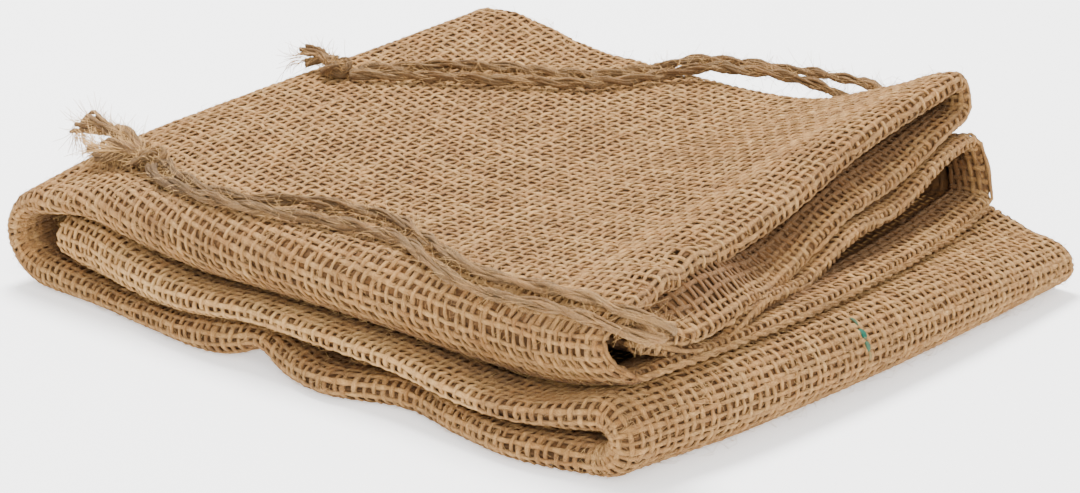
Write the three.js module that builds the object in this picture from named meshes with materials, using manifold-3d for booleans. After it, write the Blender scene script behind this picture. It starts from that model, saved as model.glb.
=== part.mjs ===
// A jute plant cover: a drawstring bag of open jute cloth, folded in half along its length and then in three,
// lying on a flat surface. Millimetres, +Z up.
// X runs along side A, from the left fold to the roll at the front, and Y from side A to side C behind.
import * as THREE from "three";
import Module from "manifold-3d";

const wasm = await Module();
wasm.setup();

// Driving dimensions
const DEPTH = 180; // nominal, side A to side C
const CLOTH = 1.0; // thickness of one sheet of cloth
const STRIP_GAP = 1.0; // clear height between the top strip and the strip under it
const LEFT_TURN_X = 8; // where the left fold starts to turn
const LEFT_TURN = { outer: 14.5, inner: 9.4 }; // how far it bulges, outermost and innermost sheet
const ROLL_TURN = { outer: 11, inner: 2.6 };
const INNER_END_X = 10; // closed bottom of the bag, at the end of the inner strip
const BOTTOM_SEAM = 3; // depth of the seam that closes the bag
const HEM_EDGE_X = 205; // mean places of the hem and of the roll's start, where the edge table is read
const ROLL_EDGE_X = 206;
const HEM_REACH = 75; // how far back from the mouth its sheets start to spread
const SIDE_BULGE = { share: 0.5, most: 8.5 }; // of the rounded edge on side A
const NEST = { share: 0.3, least: 1.6 }; // from the outer to the inner fold on side A
const STRAND_RADIUS = 1.6;
const STRAND_REST = STRAND_RADIUS + 0.55; // a strand's middle above the cloth that it lies on
const STRAND_TURN = 18; // length of one turn of its twist
const STRAND_STEP = 2.1;
const GROOVE = 0.76; // radius in the groove between the two plies

// Shares of the depth at which the height tables have their columns
const ACROSS = [0, 0.18, 0.45, 0.72, 1];

// Height of the top of each strip. Columns: x, side A, near A, middle, near C, side C
const TOP_STRIP = [
  [5, 27.0, 33.2, 37.7, 40.7, 43.8],
  [16, 29.8, 35.2, 38.1, 40.3, 44.0],
  [30, 32.5, 36.5, 38.2, 39.5, 41.2],
  [46, 34.3, 36.5, 37.6, 38.2, 37.9],
  [62, 35.5, 36.4, 37.0, 37.4, 37.2],
  [95, 36.5, 36.0, 36.3, 36.5, 37.0],
  [130, 37.5, 36.5, 36.8, 37.5, 39.0],
  [158, 39.0, 38.0, 39.5, 44.0, 48.5],
  [185, 40.0, 40.0, 43.5, 52.0, 55.0],
  [214, 40.5, 41.5, 46.5, 54.5, 55.0],
];
const INNER_STRIP = [
  [5, 19.5, 21.0, 22.0, 22.0, 21.0],
  [24, 22.4, 21.3, 20.5, 20.0, 19.5],
  [44, 18.8, 19.0, 19.0, 18.8, 18.5],
  [66, 16.5, 18.0, 18.5, 18.3, 18.0],
  [92, 17.0, 17.5, 18.2, 18.0, 18.0],
  [133, 15.9, 17.0, 18.0, 18.0, 18.0],
  [165, 14.0, 16.5, 18.0, 18.3, 18.5],
  [186, 14.8, 17.0, 18.5, 18.5, 18.5],
  [200, 18.5, 19.5, 19.5, 18.0, 14.5],
  [214, 22.5, 21.5, 19.5, 17.0, 12.5],
];
const BOTTOM_STRIP = [
  [5, 9.0, 9.0, 9.0, 9.0, 9.0],
  [25, 6.0, 8.0, 8.6, 8.8, 8.8],
  [60, 7.0, 8.4, 8.8, 8.8, 8.8],
  [88, 9.6, 9.0, 8.8, 8.8, 8.8],
  [116, 6.8, 8.4, 8.8, 8.8, 8.8],
  [138, 7.8, 8.4, 8.8, 8.8, 8.8],
  [170, 7.4, 8.0, 8.6, 8.6, 8.3],
  [190, 7.8, 8.2, 8.4, 8.4, 7.6],
  [214, 8.8, 8.6, 8.2, 7.6, 5.8],
];
// Underside of the inner strip on side A, where it bridges the pocket below it. Columns: x, height
const BRIDGE = [
  [0, 6.9],
  [25, 7.3],
  [60, 8.2],
  [88, 10.8],
  [122, 11.0],
  [138, 10.4],
  [170, 8.6],
  [212, 11.0],
];
const BRIDGE_REACH = 30; // how far in from side A it fades out
// Clear height under the inner strip. Columns: x, gap
const UNDER_INNER = [
  [0, 0.7],
  [150, 0.7],
  [195, 1.6],
  [212, 2.6],
];
// Where the strips' edges lie in Y. Columns: x, bottom, inner and top strip at A, then at C
const EDGES = [
  [5, 0.0, 4.0, -1.0, 181.0, 180.0, 180.5],
  [27, -0.5, 0.0, -1.0, 181.5, 179.5, 181.5],
  [50, -4.0, -4.5, -2.0, 181.0, 180.0, 181.5],
  [74, -7.1, -7.0, -3.5, 180.5, 180.5, 181.0],
  [92, -4.0, -6.0, -4.0, 181.0, 179.5, 180.0],
  [120, -9.7, -7.0, -3.5, 181.5, 180.0, 178.5],
  [142, -4.0, -7.0, -3.0, 181.0, 180.5, 178.0],
  [165, -9.0, -9.5, -2.5, 181.0, 180.0, 179.0],
  [183, -11.7, -10.5, -3.0, 180.5, 180.5, 179.0],
  [200, -9.0, -7.5, -3.0, 180.0, 180.0, 179.0],
  [214, -4.0, -4.0, -1.5, 179.0, 179.0, 179.0],
];
const BOTTOM = 0;
const INNER = 1;
const TOP = 2;
// The roll's nose, at the shares of ACROSS
const NOSE_X = [215.5, 219, 219.5, 217.5, 213.5];
// Where the four sheets end at the mouth, from the lowest to the top sheet, at the shares of ACROSS
const HEM_X = [
  [209, 210, 207, 199, 187],
  [209.5, 211, 206, 196, 184],
  [209.5, 212, 203, 192, 181],
  [209.5, 205.5, 199, 188.5, 178],
];
// Share of the top strip's thickness at which each sheet ends at the mouth
const HEM_SHARE = [
  [0, 0, 0, 0, 0],
  [0.15, 0.13, 0.38, 0.38, 0.56],
  [0.42, 0.36, 0.66, 0.66, 0.76],
  [1, 1, 1, 1, 1],
];
// How far each sheet's hem droops, within DROOP_REACH of the mouth
const HEM_DROOP = [
  [0, 0, 0, 0, 0],
  [0, 0, 2, 2, 0],
  [0, 1, 5, 4.5, 0],
  [0, 0.5, 0, 0, 0],
];
const DROOP_REACH = 16;
// Waves along the mouth's middle sheets
const HEM_WAVES = [
  { layer: 1 / 3, height: 1.5, length: 52, shift: 0.9 },
  { layer: 2 / 3, height: 1.3, length: 64, shift: 3.6 },
];
// Where the lowest edge stands off the surface on side A
const NOTCH = { x: 92, lift: 4.2, halfWidth: 6.5, fade: 14 };

// Smooth curve through the rows of a table, flat beyond its ends
function curve(xs, ys, at) {
  const last = xs.length - 1;
  const x = Math.min(Math.max(at, xs[0]), xs[last]);
  let i = 0;
  while (i < last - 1 && x > xs[i + 1]) i++;
  const slope = (k) => {
    const before = Math.max(k - 1, 0);
    const after = Math.min(k + 1, last);
    return (ys[after] - ys[before]) / (xs[after] - xs[before]);
  };
  const step = xs[i + 1] - xs[i];
  const p = (x - xs[i]) / step;
  const q = 1 - p;
  const ends = (1 + 2 * p) * q * q * ys[i] + p * p * (3 - 2 * p) * ys[i + 1];
  return ends + p * q * step * (q * slope(i) - p * slope(i + 1));
}

const column = (table, k) => table.map((row) => row[k]);
const lookUp = (table, k, x) => curve(column(table, 0), column(table, k), x);
const mix = (a, b, p) => a + (b - a) * p;
const smooth = (p) => {
  const q = Math.min(Math.max(p, 0), 1);
  return q * q * (3 - 2 * q);
};

// Height from a table at x and at a share of the depth
function heightAt(table, x, share) {
  const row = ACROSS.map((_, k) => lookUp(table, k + 1, x));
  return curve(ACROSS, row, share);
}

// A value for a layer between the four sheets, from a row for each sheet
function betweenSheets(rows, share, layer) {
  const values = rows.map((row) => curve(ACROSS, row, share));
  const at = Math.min(Math.max(layer, 0), 1) * 3;
  const i = Math.min(Math.floor(at), 2);
  return mix(values[i], values[i + 1], at - i);
}

// Height of a layer, 0 to 1 from the innermost to the outermost sheet, in each strip
function topStripHeight(x, share, layer) {
  const low = heightAt(INNER_STRIP, x, share) + STRIP_GAP + CLOTH / 2;
  const high = heightAt(TOP_STRIP, x, share) - CLOTH / 2;
  const near = smooth(1 + (x - HEM_EDGE_X) / HEM_REACH);
  const spread = mix(layer, betweenSheets(HEM_SHARE, share, layer), near);
  let wave = 0;
  for (const w of HEM_WAVES) {
    const weight = Math.max(0, 1 - 3 * Math.abs(layer - w.layer));
    const turn = (2 * Math.PI * share * DEPTH) / w.length + w.shift;
    wave += weight * near * near * w.height * Math.sin(turn);
  }
  const inFromHem = betweenSheets(HEM_X, share, layer) - x;
  const droop = betweenSheets(HEM_DROOP, share, layer) * smooth(1 - inFromHem / DROOP_REACH);
  return mix(low, high, spread) + wave - droop;
}

function innerStripHeight(x, share, layer) {
  const rest = heightAt(BOTTOM_STRIP, x, share) + lookUp(UNDER_INNER, 1, x);
  const bridge = Math.max(rest, lookUp(BRIDGE, 1, x));
  const low = mix(bridge, rest, smooth((share * DEPTH) / BRIDGE_REACH)) + CLOTH / 2;
  return mix(low, heightAt(INNER_STRIP, x, share) - CLOTH / 2, layer);
}

function bottomStripHeight(x, share, layer) {
  const across = Math.exp(-Math.max(share, 0) * (DEPTH / NOTCH.fade));
  const lift = NOTCH.lift * Math.exp(-(((x - NOTCH.x) / NOTCH.halfWidth) ** 2)) * across;
  return mix(heightAt(BOTTOM_STRIP, x, share) - CLOTH / 2, CLOTH / 2 + lift, layer);
}

// A point of the cloth's middle surface. run is 0 to 1 along the top strip from the mouth to the left fold,
// to 2 round that fold, to 3 along the bottom strip, to 4 round the roll and to 5 along the inner strip.
function place(run, layer, y) {
  const share = y / DEPTH;
  const rollX = curve(ACROSS, NOSE_X, share) - ROLL_TURN.outer;
  const stage = Math.min(Math.floor(run), 4);
  const part = run - stage;
  const angle = part * Math.PI;
  if (stage === 0) {
    const x = mix(betweenSheets(HEM_X, share, layer), LEFT_TURN_X, part);
    return new THREE.Vector3(x, y, topStripHeight(x, share, layer));
  }
  if (stage === 2) {
    const x = mix(LEFT_TURN_X, rollX, part);
    return new THREE.Vector3(x, y, bottomStripHeight(x, share, layer));
  }
  if (stage === 4) {
    const x = mix(rollX, INNER_END_X, part);
    return new THREE.Vector3(x, y, innerStripHeight(x, share, layer));
  }
  const left = stage === 1;
  const turn = left ? LEFT_TURN : ROLL_TURN;
  const x = left ? LEFT_TURN_X : rollX;
  const low = bottomStripHeight(x, share, layer);
  const high = left ? topStripHeight(x, share, layer) : innerStripHeight(x, share, layer);
  const out = mix(turn.inner, turn.outer, layer) * Math.sin(angle);
  const up = ((high - low) / 2) * Math.cos(angle);
  const middle = (high + low) / 2;
  return left
    ? new THREE.Vector3(x - out, y, middle + up)
    : new THREE.Vector3(x + out, y, middle - up);
}

// Y of the edges on sides A and C at a station
function stripEdges(run) {
  const at = (x, strip) => [lookUp(EDGES, 1 + strip, x), lookUp(EDGES, 4 + strip, x)];
  const stage = Math.min(Math.floor(run), 4);
  const part = run - stage;
  if (stage === 0) return at(mix(HEM_EDGE_X, LEFT_TURN_X, part), TOP);
  if (stage === 2) return at(mix(LEFT_TURN_X, ROLL_EDGE_X, part), BOTTOM);
  if (stage === 4) return at(mix(ROLL_EDGE_X, INNER_END_X, part), INNER);
  const x = stage === 1 ? LEFT_TURN_X : ROLL_EDGE_X;
  const from = at(x, stage === 1 ? TOP : BOTTOM);
  const to = at(x, stage === 1 ? BOTTOM : INNER);
  const share = (1 - Math.cos(part * Math.PI)) / 2;
  return [mix(from[0], to[0], share), mix(from[1], to[1], share)];
}

const SHEET_STOPS = [0, 0.1, 0.26, 0.46, 0.68, 0.88]; // from side A, along one sheet
const SIDE_STEPS = 5; // round a fold on side A
const PAIR_STEPS = 2; // round half a fold on side C

// The bag's closed section at a station, as layer and Y: the panel outside, then the panel inside it.
// Each panel runs from side C to side A and back, and two folds on side C join them.
function section(run) {
  const [edgeA, edgeC] = stripEdges(run);
  const thick = (y) => place(run, 1, y).distanceTo(place(run, 0, y));
  const thickA = thick(edgeA + 6);
  const bulge = Math.min(SIDE_BULGE.share * thickA, SIDE_BULGE.most);
  const nestBulge = Math.max(0.16 * thickA, 0.6);
  const pair = Math.max(0.17 * thick(edgeC - 6), 0.7);
  const startA = edgeA + bulge;
  const nestA = edgeA + Math.max(NEST.share * thickA, NEST.least) + nestBulge;
  const endC = edgeC - pair;
  const points = [];
  const pairFold = (middle, half, from, to) => {
    for (let k = 0; k < PAIR_STEPS; k++) {
      const a = mix(from, to, k / PAIR_STEPS);
      points.push([middle + half * Math.cos(a), endC + pair * Math.sin(a)]);
    }
  };
  const sideFold = (half, start, out) => {
    for (let k = 0; k < SIDE_STEPS; k++) {
      const a = (k / SIDE_STEPS) * Math.PI;
      points.push([0.5 + half * Math.cos(a), start - out * Math.sin(a)]);
    }
  };
  const sheetIn = (layer, start) => {
    points.push([layer, endC]);
    for (let k = SHEET_STOPS.length - 1; k > 0; k--) {
      points.push([layer, mix(start, endC, SHEET_STOPS[k])]);
    }
  };
  const sheetOut = (layer, start) => {
    for (const stop of SHEET_STOPS) points.push([layer, mix(start, endC, stop)]);
  };
  const quarter = Math.PI / 2;
  pairFold(1 / 6, 1 / 6, quarter, 2 * quarter);
  sheetIn(0, startA);
  sideFold(-0.5, startA, bulge);
  sheetOut(1, startA);
  pairFold(5 / 6, 1 / 6, 0, quarter);
  pairFold(5 / 6, 1 / 6, quarter, 2 * quarter);
  sheetIn(2 / 3, nestA);
  sideFold(1 / 6, nestA, nestBulge);
  sheetOut(1 / 3, nestA);
  pairFold(1 / 6, 1 / 6, 0, quarter);
  return points;
}

// Stations along the folded bag, closer together at the mouth and round the turns
function stations() {
  const steps = { top: 12, left: 8, bottom: 16, roll: 7, inner: 11 };
  const runs = [];
  for (let k = 0; k < steps.top; k++) runs.push((k / steps.top) ** 1.3);
  for (let k = 0; k < steps.left; k++) runs.push(1 + k / steps.left);
  for (let k = 0; k < steps.bottom; k++) runs.push(2 + k / steps.bottom);
  for (let k = 0; k < steps.roll; k++) runs.push(3 + k / steps.roll);
  for (let k = 0; k < steps.inner; k++) runs.push(4 + k / steps.inner);
  const seam = BOTTOM_SEAM / (ROLL_EDGE_X - INNER_END_X);
  runs.push(5 - seam, 5);
  return runs;
}

function meshFrom(vertices, triangles) {
  const geometry = new THREE.BufferGeometry();
  geometry.setAttribute("position", new THREE.Float32BufferAttribute(vertices, 3));
  geometry.setIndex(triangles);
  geometry.computeVertexNormals();
  return geometry;
}

// The whole cover: the middle surface is thickened by half a sheet to each side, open at the mouth and
// closed by the seam at the bag's bottom.
function coverGeometry() {
  const rings = stations().map((run) => section(run).map(([layer, y]) => place(run, layer, y)));
  const last = rings.length - 1;
  const count = rings[0].length;
  const outside = [];
  const inside = [];
  rings.forEach((ring, i) => {
    const before = rings[Math.max(i - 1, 0)];
    const after = rings[Math.min(i + 1, last)];
    ring.forEach((point, j) => {
      const along = after[j].clone().sub(before[j]);
      const around = ring[(j + 1) % count].clone().sub(ring[(j + count - 1) % count]);
      const normal = around.cross(along).normalize();
      outside.push(...point.clone().addScaledVector(normal, CLOTH / 2).toArray());
      inside.push(...point.clone().addScaledVector(normal, -CLOTH / 2).toArray());
    });
  });
  const out = (i, j) => i * count + (j % count);
  const within = (i, j) => rings.length * count + i * count + (j % count);
  const triangles = [];
  const quad = (a, b, c, d) => triangles.push(a, b, c, a, c, d);
  for (let j = 0; j < count; j++) {
    for (let i = 0; i < last; i++) quad(out(i, j), out(i, j + 1), out(i + 1, j + 1), out(i + 1, j));
    for (let i = 0; i < last - 1; i++) {
      quad(within(i, j), within(i + 1, j), within(i + 1, j + 1), within(i, j + 1));
    }
    quad(out(0, j), within(0, j), within(0, j + 1), out(0, j + 1));
  }
  // The seam joins each point of the outside panel to its partner on the inside panel
  const half = count / 2;
  for (let k = 0; k < half; k++) {
    const partner = count - k;
    const seam = (ring, i, flip) => {
      const corners = [ring(i, k), ring(i, k + 1), ring(i, partner - 1), ring(i, partner)];
      if (flip) corners.reverse();
      for (const pick of [[0, 1, 2], [0, 2, 3]]) {
        const [a, b, c] = pick.map((p) => corners[p]);
        if (a !== b && b !== c && c !== a) triangles.push(a, b, c);
      }
    };
    seam(out, last, false);
    seam(within, last - 1, true);
  }
  return meshFrom([...outside, ...inside], triangles);
}

// Height of the cover's top face at a place, with the rounded edge of side A
function topFace(x, y) {
  const share = y / DEPTH;
  const high = heightAt(TOP_STRIP, x, share);
  const low = heightAt(INNER_STRIP, x, share) + STRIP_GAP;
  const bulge = Math.min(SIDE_BULGE.share * (high - low), SIDE_BULGE.most);
  const past = Math.min(Math.max((lookUp(EDGES, 1 + TOP, x) + bulge - y) / bulge, 0), 1);
  return mix(low, high, 0.5 + 0.5 * Math.sqrt(1 - past * past));
}

// Routes of the four strands, from knot to hem. A point lies on the top face, unless it has its own height.
const ROUTES = {
  front_strand_upper: [
    [36.2, 18.6], [40, 16.2], [46, 13.2], [53, 10.8], [61, 8.6], [70, 7.7], [78, 8.2], [84, 12], [90, 16.6],
    [99, 19], [110, 20], [120, 18.8], [129, 14.6], [138, 10, 39.6], [147, 5.4, 40.3], [152, 3.2, 40.3],
    [157, 1.8, 40], [163, 0.9, 39.6], [170, 0.4, 39.6], [178, 0.2, 39.9], [186, 0.2, 40.3], [194, 0.2, 40.7],
    [200, 0, 40.7], [205, -0.4, 40.2], [209.6, -0.1, 40], [213.6, 1.6, 38.8], [215.8, 5, 36.8],
    [215.2, 9, 34.8], [212, 11.8, 33.6], [207.6, 13, 33.4], [203, 13.3, 33.4],
  ],
  front_strand_lower: [
    [35.4, 14.6], [39.4, 11], [46, 8], [53, 6], [61, 4.5], [70, 3.4], [78, 3.2], [86, 3.6], [93, 4.4],
    [101, 6], [112, 7.6], [122, 8], [131, 6.7, 39.5], [138, 4, 39.8], [145, 0.9, 39.1], [151, -0.7, 38.1],
    [157, -1.6, 37.1], [163, -2.2, 36.3], [170, -2.5, 36.2], [178, -2.6, 36.6], [186, -2.7, 37.1],
    [194, -2.9, 37.4], [200, -3.1, 37.3], [205, -3.2, 36.7], [209.4, -3, 36.5], [213.4, -1.4, 35.4],
    [215, 2.3, 34], [213.4, 6, 33], [209.4, 7.6, 32.7], [205.4, 7.9, 32.9], [201.4, 7.9, 33],
  ],
  back_strand_upper: [
    [21, 107.2], [27, 115.5], [34, 125.5], [40, 132.6], [47, 138.8], [55, 143.2], [63, 147.4], [69.6, 153],
    [74, 161], [77.6, 169.6], [83.6, 176.8, 41.1], [91.6, 180.2, 42], [101, 181.8, 42.2],
    [110, 183.2, 42.4], [119.5, 184.8, 42.6], [129, 185.6, 42.6], [139, 185.6, 42.7], [147, 185.2, 41.6],
    [154, 184.2, 39.6], [160, 181.8, 37.6], [164, 177.6, 36.8], [166.2, 172.6, 36.9], [167, 167.4, 37],
  ],
  back_strand_lower: [
    [21.6, 102.9], [29, 108.4], [37, 115], [45, 121.6], [53, 128.4], [61, 134.8], [69, 140.6], [75.2, 147.6],
    [79.4, 156], [82.8, 164.8], [87.6, 171.8, 40.2], [94.6, 175.4, 41.4], [103, 177.4, 41.6],
    [112, 179.4, 41.8], [121, 181.6, 41], [126, 182.8, 39.9], [130.4, 183.6, 38.7], [137, 184, 36.6],
    [143.5, 183, 34.6], [148.5, 179.6, 33.6], [151.4, 174.8, 33.4], [152.6, 169.4, 33.4],
  ],
};

function onCover([x, y, z], rest) {
  return new THREE.Vector3(x, y, z ?? topFace(x, y) + rest);
}

// A tube along a curve, with a ring of radii that may turn and swell on the way
function tube(points, step, ringAt) {
  const path = new THREE.CatmullRomCurve3(points, false, "centripetal");
  const steps = Math.max(2, Math.round(path.getLength() / step));
  const frames = path.computeFrenetFrames(steps, false);
  const vertices = [];
  const triangles = [];
  let sides = 0;
  for (let i = 0; i <= steps; i++) {
    const middle = path.getPointAt(i / steps);
    const ring = ringAt((i / steps) * path.getLength(), i / steps);
    sides = ring.length;
    for (const [angle, radius] of ring) {
      const spoke = frames.normals[i].clone().multiplyScalar(Math.cos(angle));
      spoke.addScaledVector(frames.binormals[i], Math.sin(angle)).multiplyScalar(radius);
      vertices.push(...middle.clone().add(spoke).toArray());
    }
  }
  const at = (i, k) => i * sides + (k % sides);
  for (let k = 0; k < sides; k++) {
    for (let i = 0; i < steps; i++) {
      triangles.push(at(i, k), at(i, k + 1), at(i + 1, k + 1), at(i, k), at(i + 1, k + 1), at(i + 1, k));
    }
    if (k > 0 && k < sides - 1) {
      triangles.push(at(0, 0), at(0, k + 1), at(0, k), at(steps, 0), at(steps, k), at(steps, k + 1));
    }
  }
  return meshFrom(vertices, triangles);
}

// A two-ply strand: six sides, two of them standing out as the plies, turning along its length
function strandGeometry(route) {
  const sides = [0, 1, 2, 3, 4, 5];
  return tube(
    route.map((point) => onCover(point, STRAND_REST)),
    STRAND_STEP,
    (length) =>
      sides.map((k) => {
        const ply = k % 3 === 0;
        const angle = (k * Math.PI) / 3 + (2 * Math.PI * length) / STRAND_TURN;
        return [angle, STRAND_RADIUS * (ply ? 1 : GROOVE)];
      }),
  );
}

function solidOf(geometry) {
  return new wasm.Manifold(
    new wasm.Mesh({
      numProp: 3,
      vertProperties: new Float32Array(geometry.getAttribute("position").array),
      triVerts: new Uint32Array(geometry.index.array),
    }),
  );
}

function joined(geometries) {
  const whole = geometries.map(solidOf).reduce((a, b) => a.add(b));
  const mesh = whole.getMesh();
  return meshFrom([...mesh.vertProperties], [...mesh.triVerts]);
}

// The knots: a ball of raised wraps with the cord's free ends coming out of it
const KNOTS = {
  front_knot: {
    middle: [31, 17.4],
    size: [4.3, 4.2, 3.2],
    tails: [
      {
        route: [
          [28, 19, 39.4], [20, 21.5, 39.8], [11, 23.2, 40.2], [2.5, 24.2, 40], [-3.2, 24.8, 38.8],
          [-5.2, 25, 36.4], [-4, 24.8, 34.4],
        ],
        locks: 5,
        lockRoute: [[0, 0, 0], [0.8, -0.2, -0.9], [2, -0.4, -1.6]],
      },
      {
        route: [[28, 16.4], [22, 16.2], [16, 16], [11, 15.8]],
        locks: 4,
        lockRoute: [[0, 0, 0], [-1.6, 0.2, -0.2], [-3, 0.4, -0.5]],
      },
    ],
  },
  back_knot: {
    middle: [16, 103],
    size: [4.2, 4.2, 3.5],
    tails: [
      {
        route: [[14, 104, 43.6], [10, 104.8, 43.6], [5.6, 103.6, 43.2], [2.2, 100.8, 42.4]],
        locks: 0,
      },
    ],
  },
};
const KNOT_GAP = 0.55; // under a knot
const WRAPS = { around: 14, up: 10, ridge: 0.09, turns: 4 };
const TAIL = { radius: 1.8, sides: 6, step: 3, rest: 2.5 };
const LOCK = { radius: 0.8, sides: 4, step: 2, spread: 1 };

function knotBall(middle, size) {
  const vertices = [];
  const triangles = [];
  const { around, up, ridge, turns } = WRAPS;
  const push = (tilt, turn) => {
    const swell = 1 + ridge * Math.sin(turns * turn + 3 * tilt) * Math.sin(tilt);
    const ball = new THREE.Vector3().setFromSphericalCoords(swell, tilt, turn);
    vertices.push(middle.x + size[0] * ball.x, middle.y + size[1] * ball.z, middle.z + size[2] * ball.y);
  };
  push(0, 0);
  for (let i = 1; i < up; i++) {
    for (let k = 0; k < around; k++) push((i / up) * Math.PI, (k / around) * 2 * Math.PI);
  }
  push(Math.PI, 0);
  const at = (i, k) => 1 + (i - 1) * around + (k % around);
  const bottom = vertices.length / 3 - 1;
  for (let k = 0; k < around; k++) {
    triangles.push(0, at(1, k + 1), at(1, k), bottom, at(up - 1, k), at(up - 1, k + 1));
    for (let i = 1; i < up - 1; i++) {
      triangles.push(at(i, k), at(i, k + 1), at(i + 1, k + 1), at(i, k), at(i + 1, k + 1), at(i + 1, k));
    }
  }
  return meshFrom(vertices, triangles);
}

function roundRing(sides, radius) {
  return Array.from({ length: sides }, (_, k) => [(k / sides) * 2 * Math.PI, radius]);
}

function knotGeometry({ middle, size, tails }) {
  const centre = onCover(middle, size[2] + KNOT_GAP);
  const pieces = [knotBall(centre, size)];
  for (const { route, locks, lockRoute } of tails) {
    const points = route.map((point) => onCover(point, TAIL.rest));
    const narrow = locks ? 1 : 0.8;
    pieces.push(tube(points, TAIL.step, (_, p) => roundRing(TAIL.sides, TAIL.radius * mix(1, narrow, p))));
    const tip = points[points.length - 1];
    const root = points[points.length - 2].clone().lerp(tip, 0.7);
    for (let k = 0; k < locks; k++) {
      const turn = (k / locks) * 2 * Math.PI;
      const lean = new THREE.Vector3(0, Math.cos(turn), Math.sin(turn)).multiplyScalar(LOCK.spread);
      const lock = lockRoute.map((point, n) =>
        new THREE.Vector3(...point).addScaledVector(lean, 0.4 + 0.5 * n).add(n ? tip : root),
      );
      pieces.push(tube(lock, LOCK.step, (_, p) => roundRing(LOCK.sides, LOCK.radius * mix(1, 0.45, p))));
    }
  }
  return joined(pieces);
}

const clothMaterial = new THREE.MeshStandardMaterial({ color: 0xb48e62, roughness: 0.95, metalness: 0 });
const cordMaterial = new THREE.MeshStandardMaterial({ color: 0x8f7350, roughness: 0.95, metalness: 0 });

const group = new THREE.Group();
function addPiece(name, geometry, material) {
  const mesh = new THREE.Mesh(geometry, material);
  mesh.name = name;
  group.add(mesh);
  return mesh;
}

const cover = addPiece("cover", coverGeometry(), clothMaterial);
for (const [name, route] of Object.entries(ROUTES)) addPiece(name, strandGeometry(route), cordMaterial);
for (const [name, knot] of Object.entries(KNOTS)) addPiece(name, knotGeometry(knot), cordMaterial);

// The origin is under the middle of the folded cloth
cover.geometry.computeBoundingBox();
const { min, max } = cover.geometry.boundingBox;
const toOrigin = [-(min.x + max.x) / 2, -(min.y + max.y) / 2, -min.z];
group.children.forEach((mesh) => mesh.geometry.translate(...toOrigin));

export default group;
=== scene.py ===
import math

import bpy
import numpy as np
from mathutils import Matrix, Vector


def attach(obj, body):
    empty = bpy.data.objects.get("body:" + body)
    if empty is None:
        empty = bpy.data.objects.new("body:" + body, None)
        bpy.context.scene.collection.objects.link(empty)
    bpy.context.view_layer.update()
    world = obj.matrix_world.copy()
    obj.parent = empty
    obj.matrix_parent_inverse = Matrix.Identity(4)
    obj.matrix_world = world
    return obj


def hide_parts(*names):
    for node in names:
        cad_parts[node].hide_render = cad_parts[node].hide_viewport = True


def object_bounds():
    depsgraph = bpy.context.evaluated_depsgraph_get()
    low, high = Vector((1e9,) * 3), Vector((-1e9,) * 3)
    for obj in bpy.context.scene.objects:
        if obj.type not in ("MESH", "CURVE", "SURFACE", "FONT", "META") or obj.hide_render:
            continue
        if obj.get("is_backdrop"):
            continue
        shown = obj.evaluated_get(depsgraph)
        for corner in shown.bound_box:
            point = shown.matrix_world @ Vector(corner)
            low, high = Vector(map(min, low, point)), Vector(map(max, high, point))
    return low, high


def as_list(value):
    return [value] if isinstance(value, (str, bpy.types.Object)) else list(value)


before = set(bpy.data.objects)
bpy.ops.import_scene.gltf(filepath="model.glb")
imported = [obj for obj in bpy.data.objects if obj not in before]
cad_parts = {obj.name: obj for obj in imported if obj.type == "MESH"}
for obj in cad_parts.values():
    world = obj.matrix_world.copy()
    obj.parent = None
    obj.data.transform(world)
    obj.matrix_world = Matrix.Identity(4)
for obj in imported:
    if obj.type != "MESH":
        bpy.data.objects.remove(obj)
cad_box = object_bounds()

# Working frame: millimetres, X along side A, Y from side A to side C, Z up. Points are shifted to the
# frame's origin as pieces are made.
MM = 0.001
WORK_ORIGIN = np.array([106.3565, 85.0333, 0.0])
rng = np.random.default_rng(11)


def to_frame(points):
    return (np.asarray(points, float) - WORK_ORIGIN) * MM


# Camera, at the photograph's angle
IMAGE_WIDTH, IMAGE_HEIGHT = 1080, 493
VIEW_AZIMUTH, VIEW_ELEVATION = math.radians(41.1), math.radians(17.52)
FOCAL_PIXELS = 3591.44
AIM = (106.0, 90.0, 20.0)
AIM_PIXEL = (546.44, 216.06)
DISTANCE = 950.0
SENSOR = 36.0


def add_camera():
    back = Vector((
        math.sin(VIEW_AZIMUTH) * math.cos(VIEW_ELEVATION),
        -math.cos(VIEW_AZIMUTH) * math.cos(VIEW_ELEVATION),
        math.sin(VIEW_ELEVATION),
    ))
    right = Vector((math.cos(VIEW_AZIMUTH), math.sin(VIEW_AZIMUTH), 0.0))
    up = back.cross(right)
    data = bpy.data.cameras.new("camera")
    data.sensor_width = SENSOR
    data.lens = FOCAL_PIXELS / IMAGE_WIDTH * SENSOR
    data.shift_x = (IMAGE_WIDTH / 2 - AIM_PIXEL[0]) / IMAGE_WIDTH
    data.shift_y = (AIM_PIXEL[1] - IMAGE_HEIGHT / 2) / IMAGE_WIDTH
    data.clip_start = 0.01
    camera = bpy.data.objects.new("camera", data)
    turn = Matrix((right, up, back)).transposed().to_4x4()
    place_at = Vector(to_frame(AIM)) + back * DISTANCE * MM
    camera.matrix_world = Matrix.Translation(place_at) @ turn
    bpy.context.collection.objects.link(camera)
    bpy.context.scene.camera = camera


add_camera()


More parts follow.
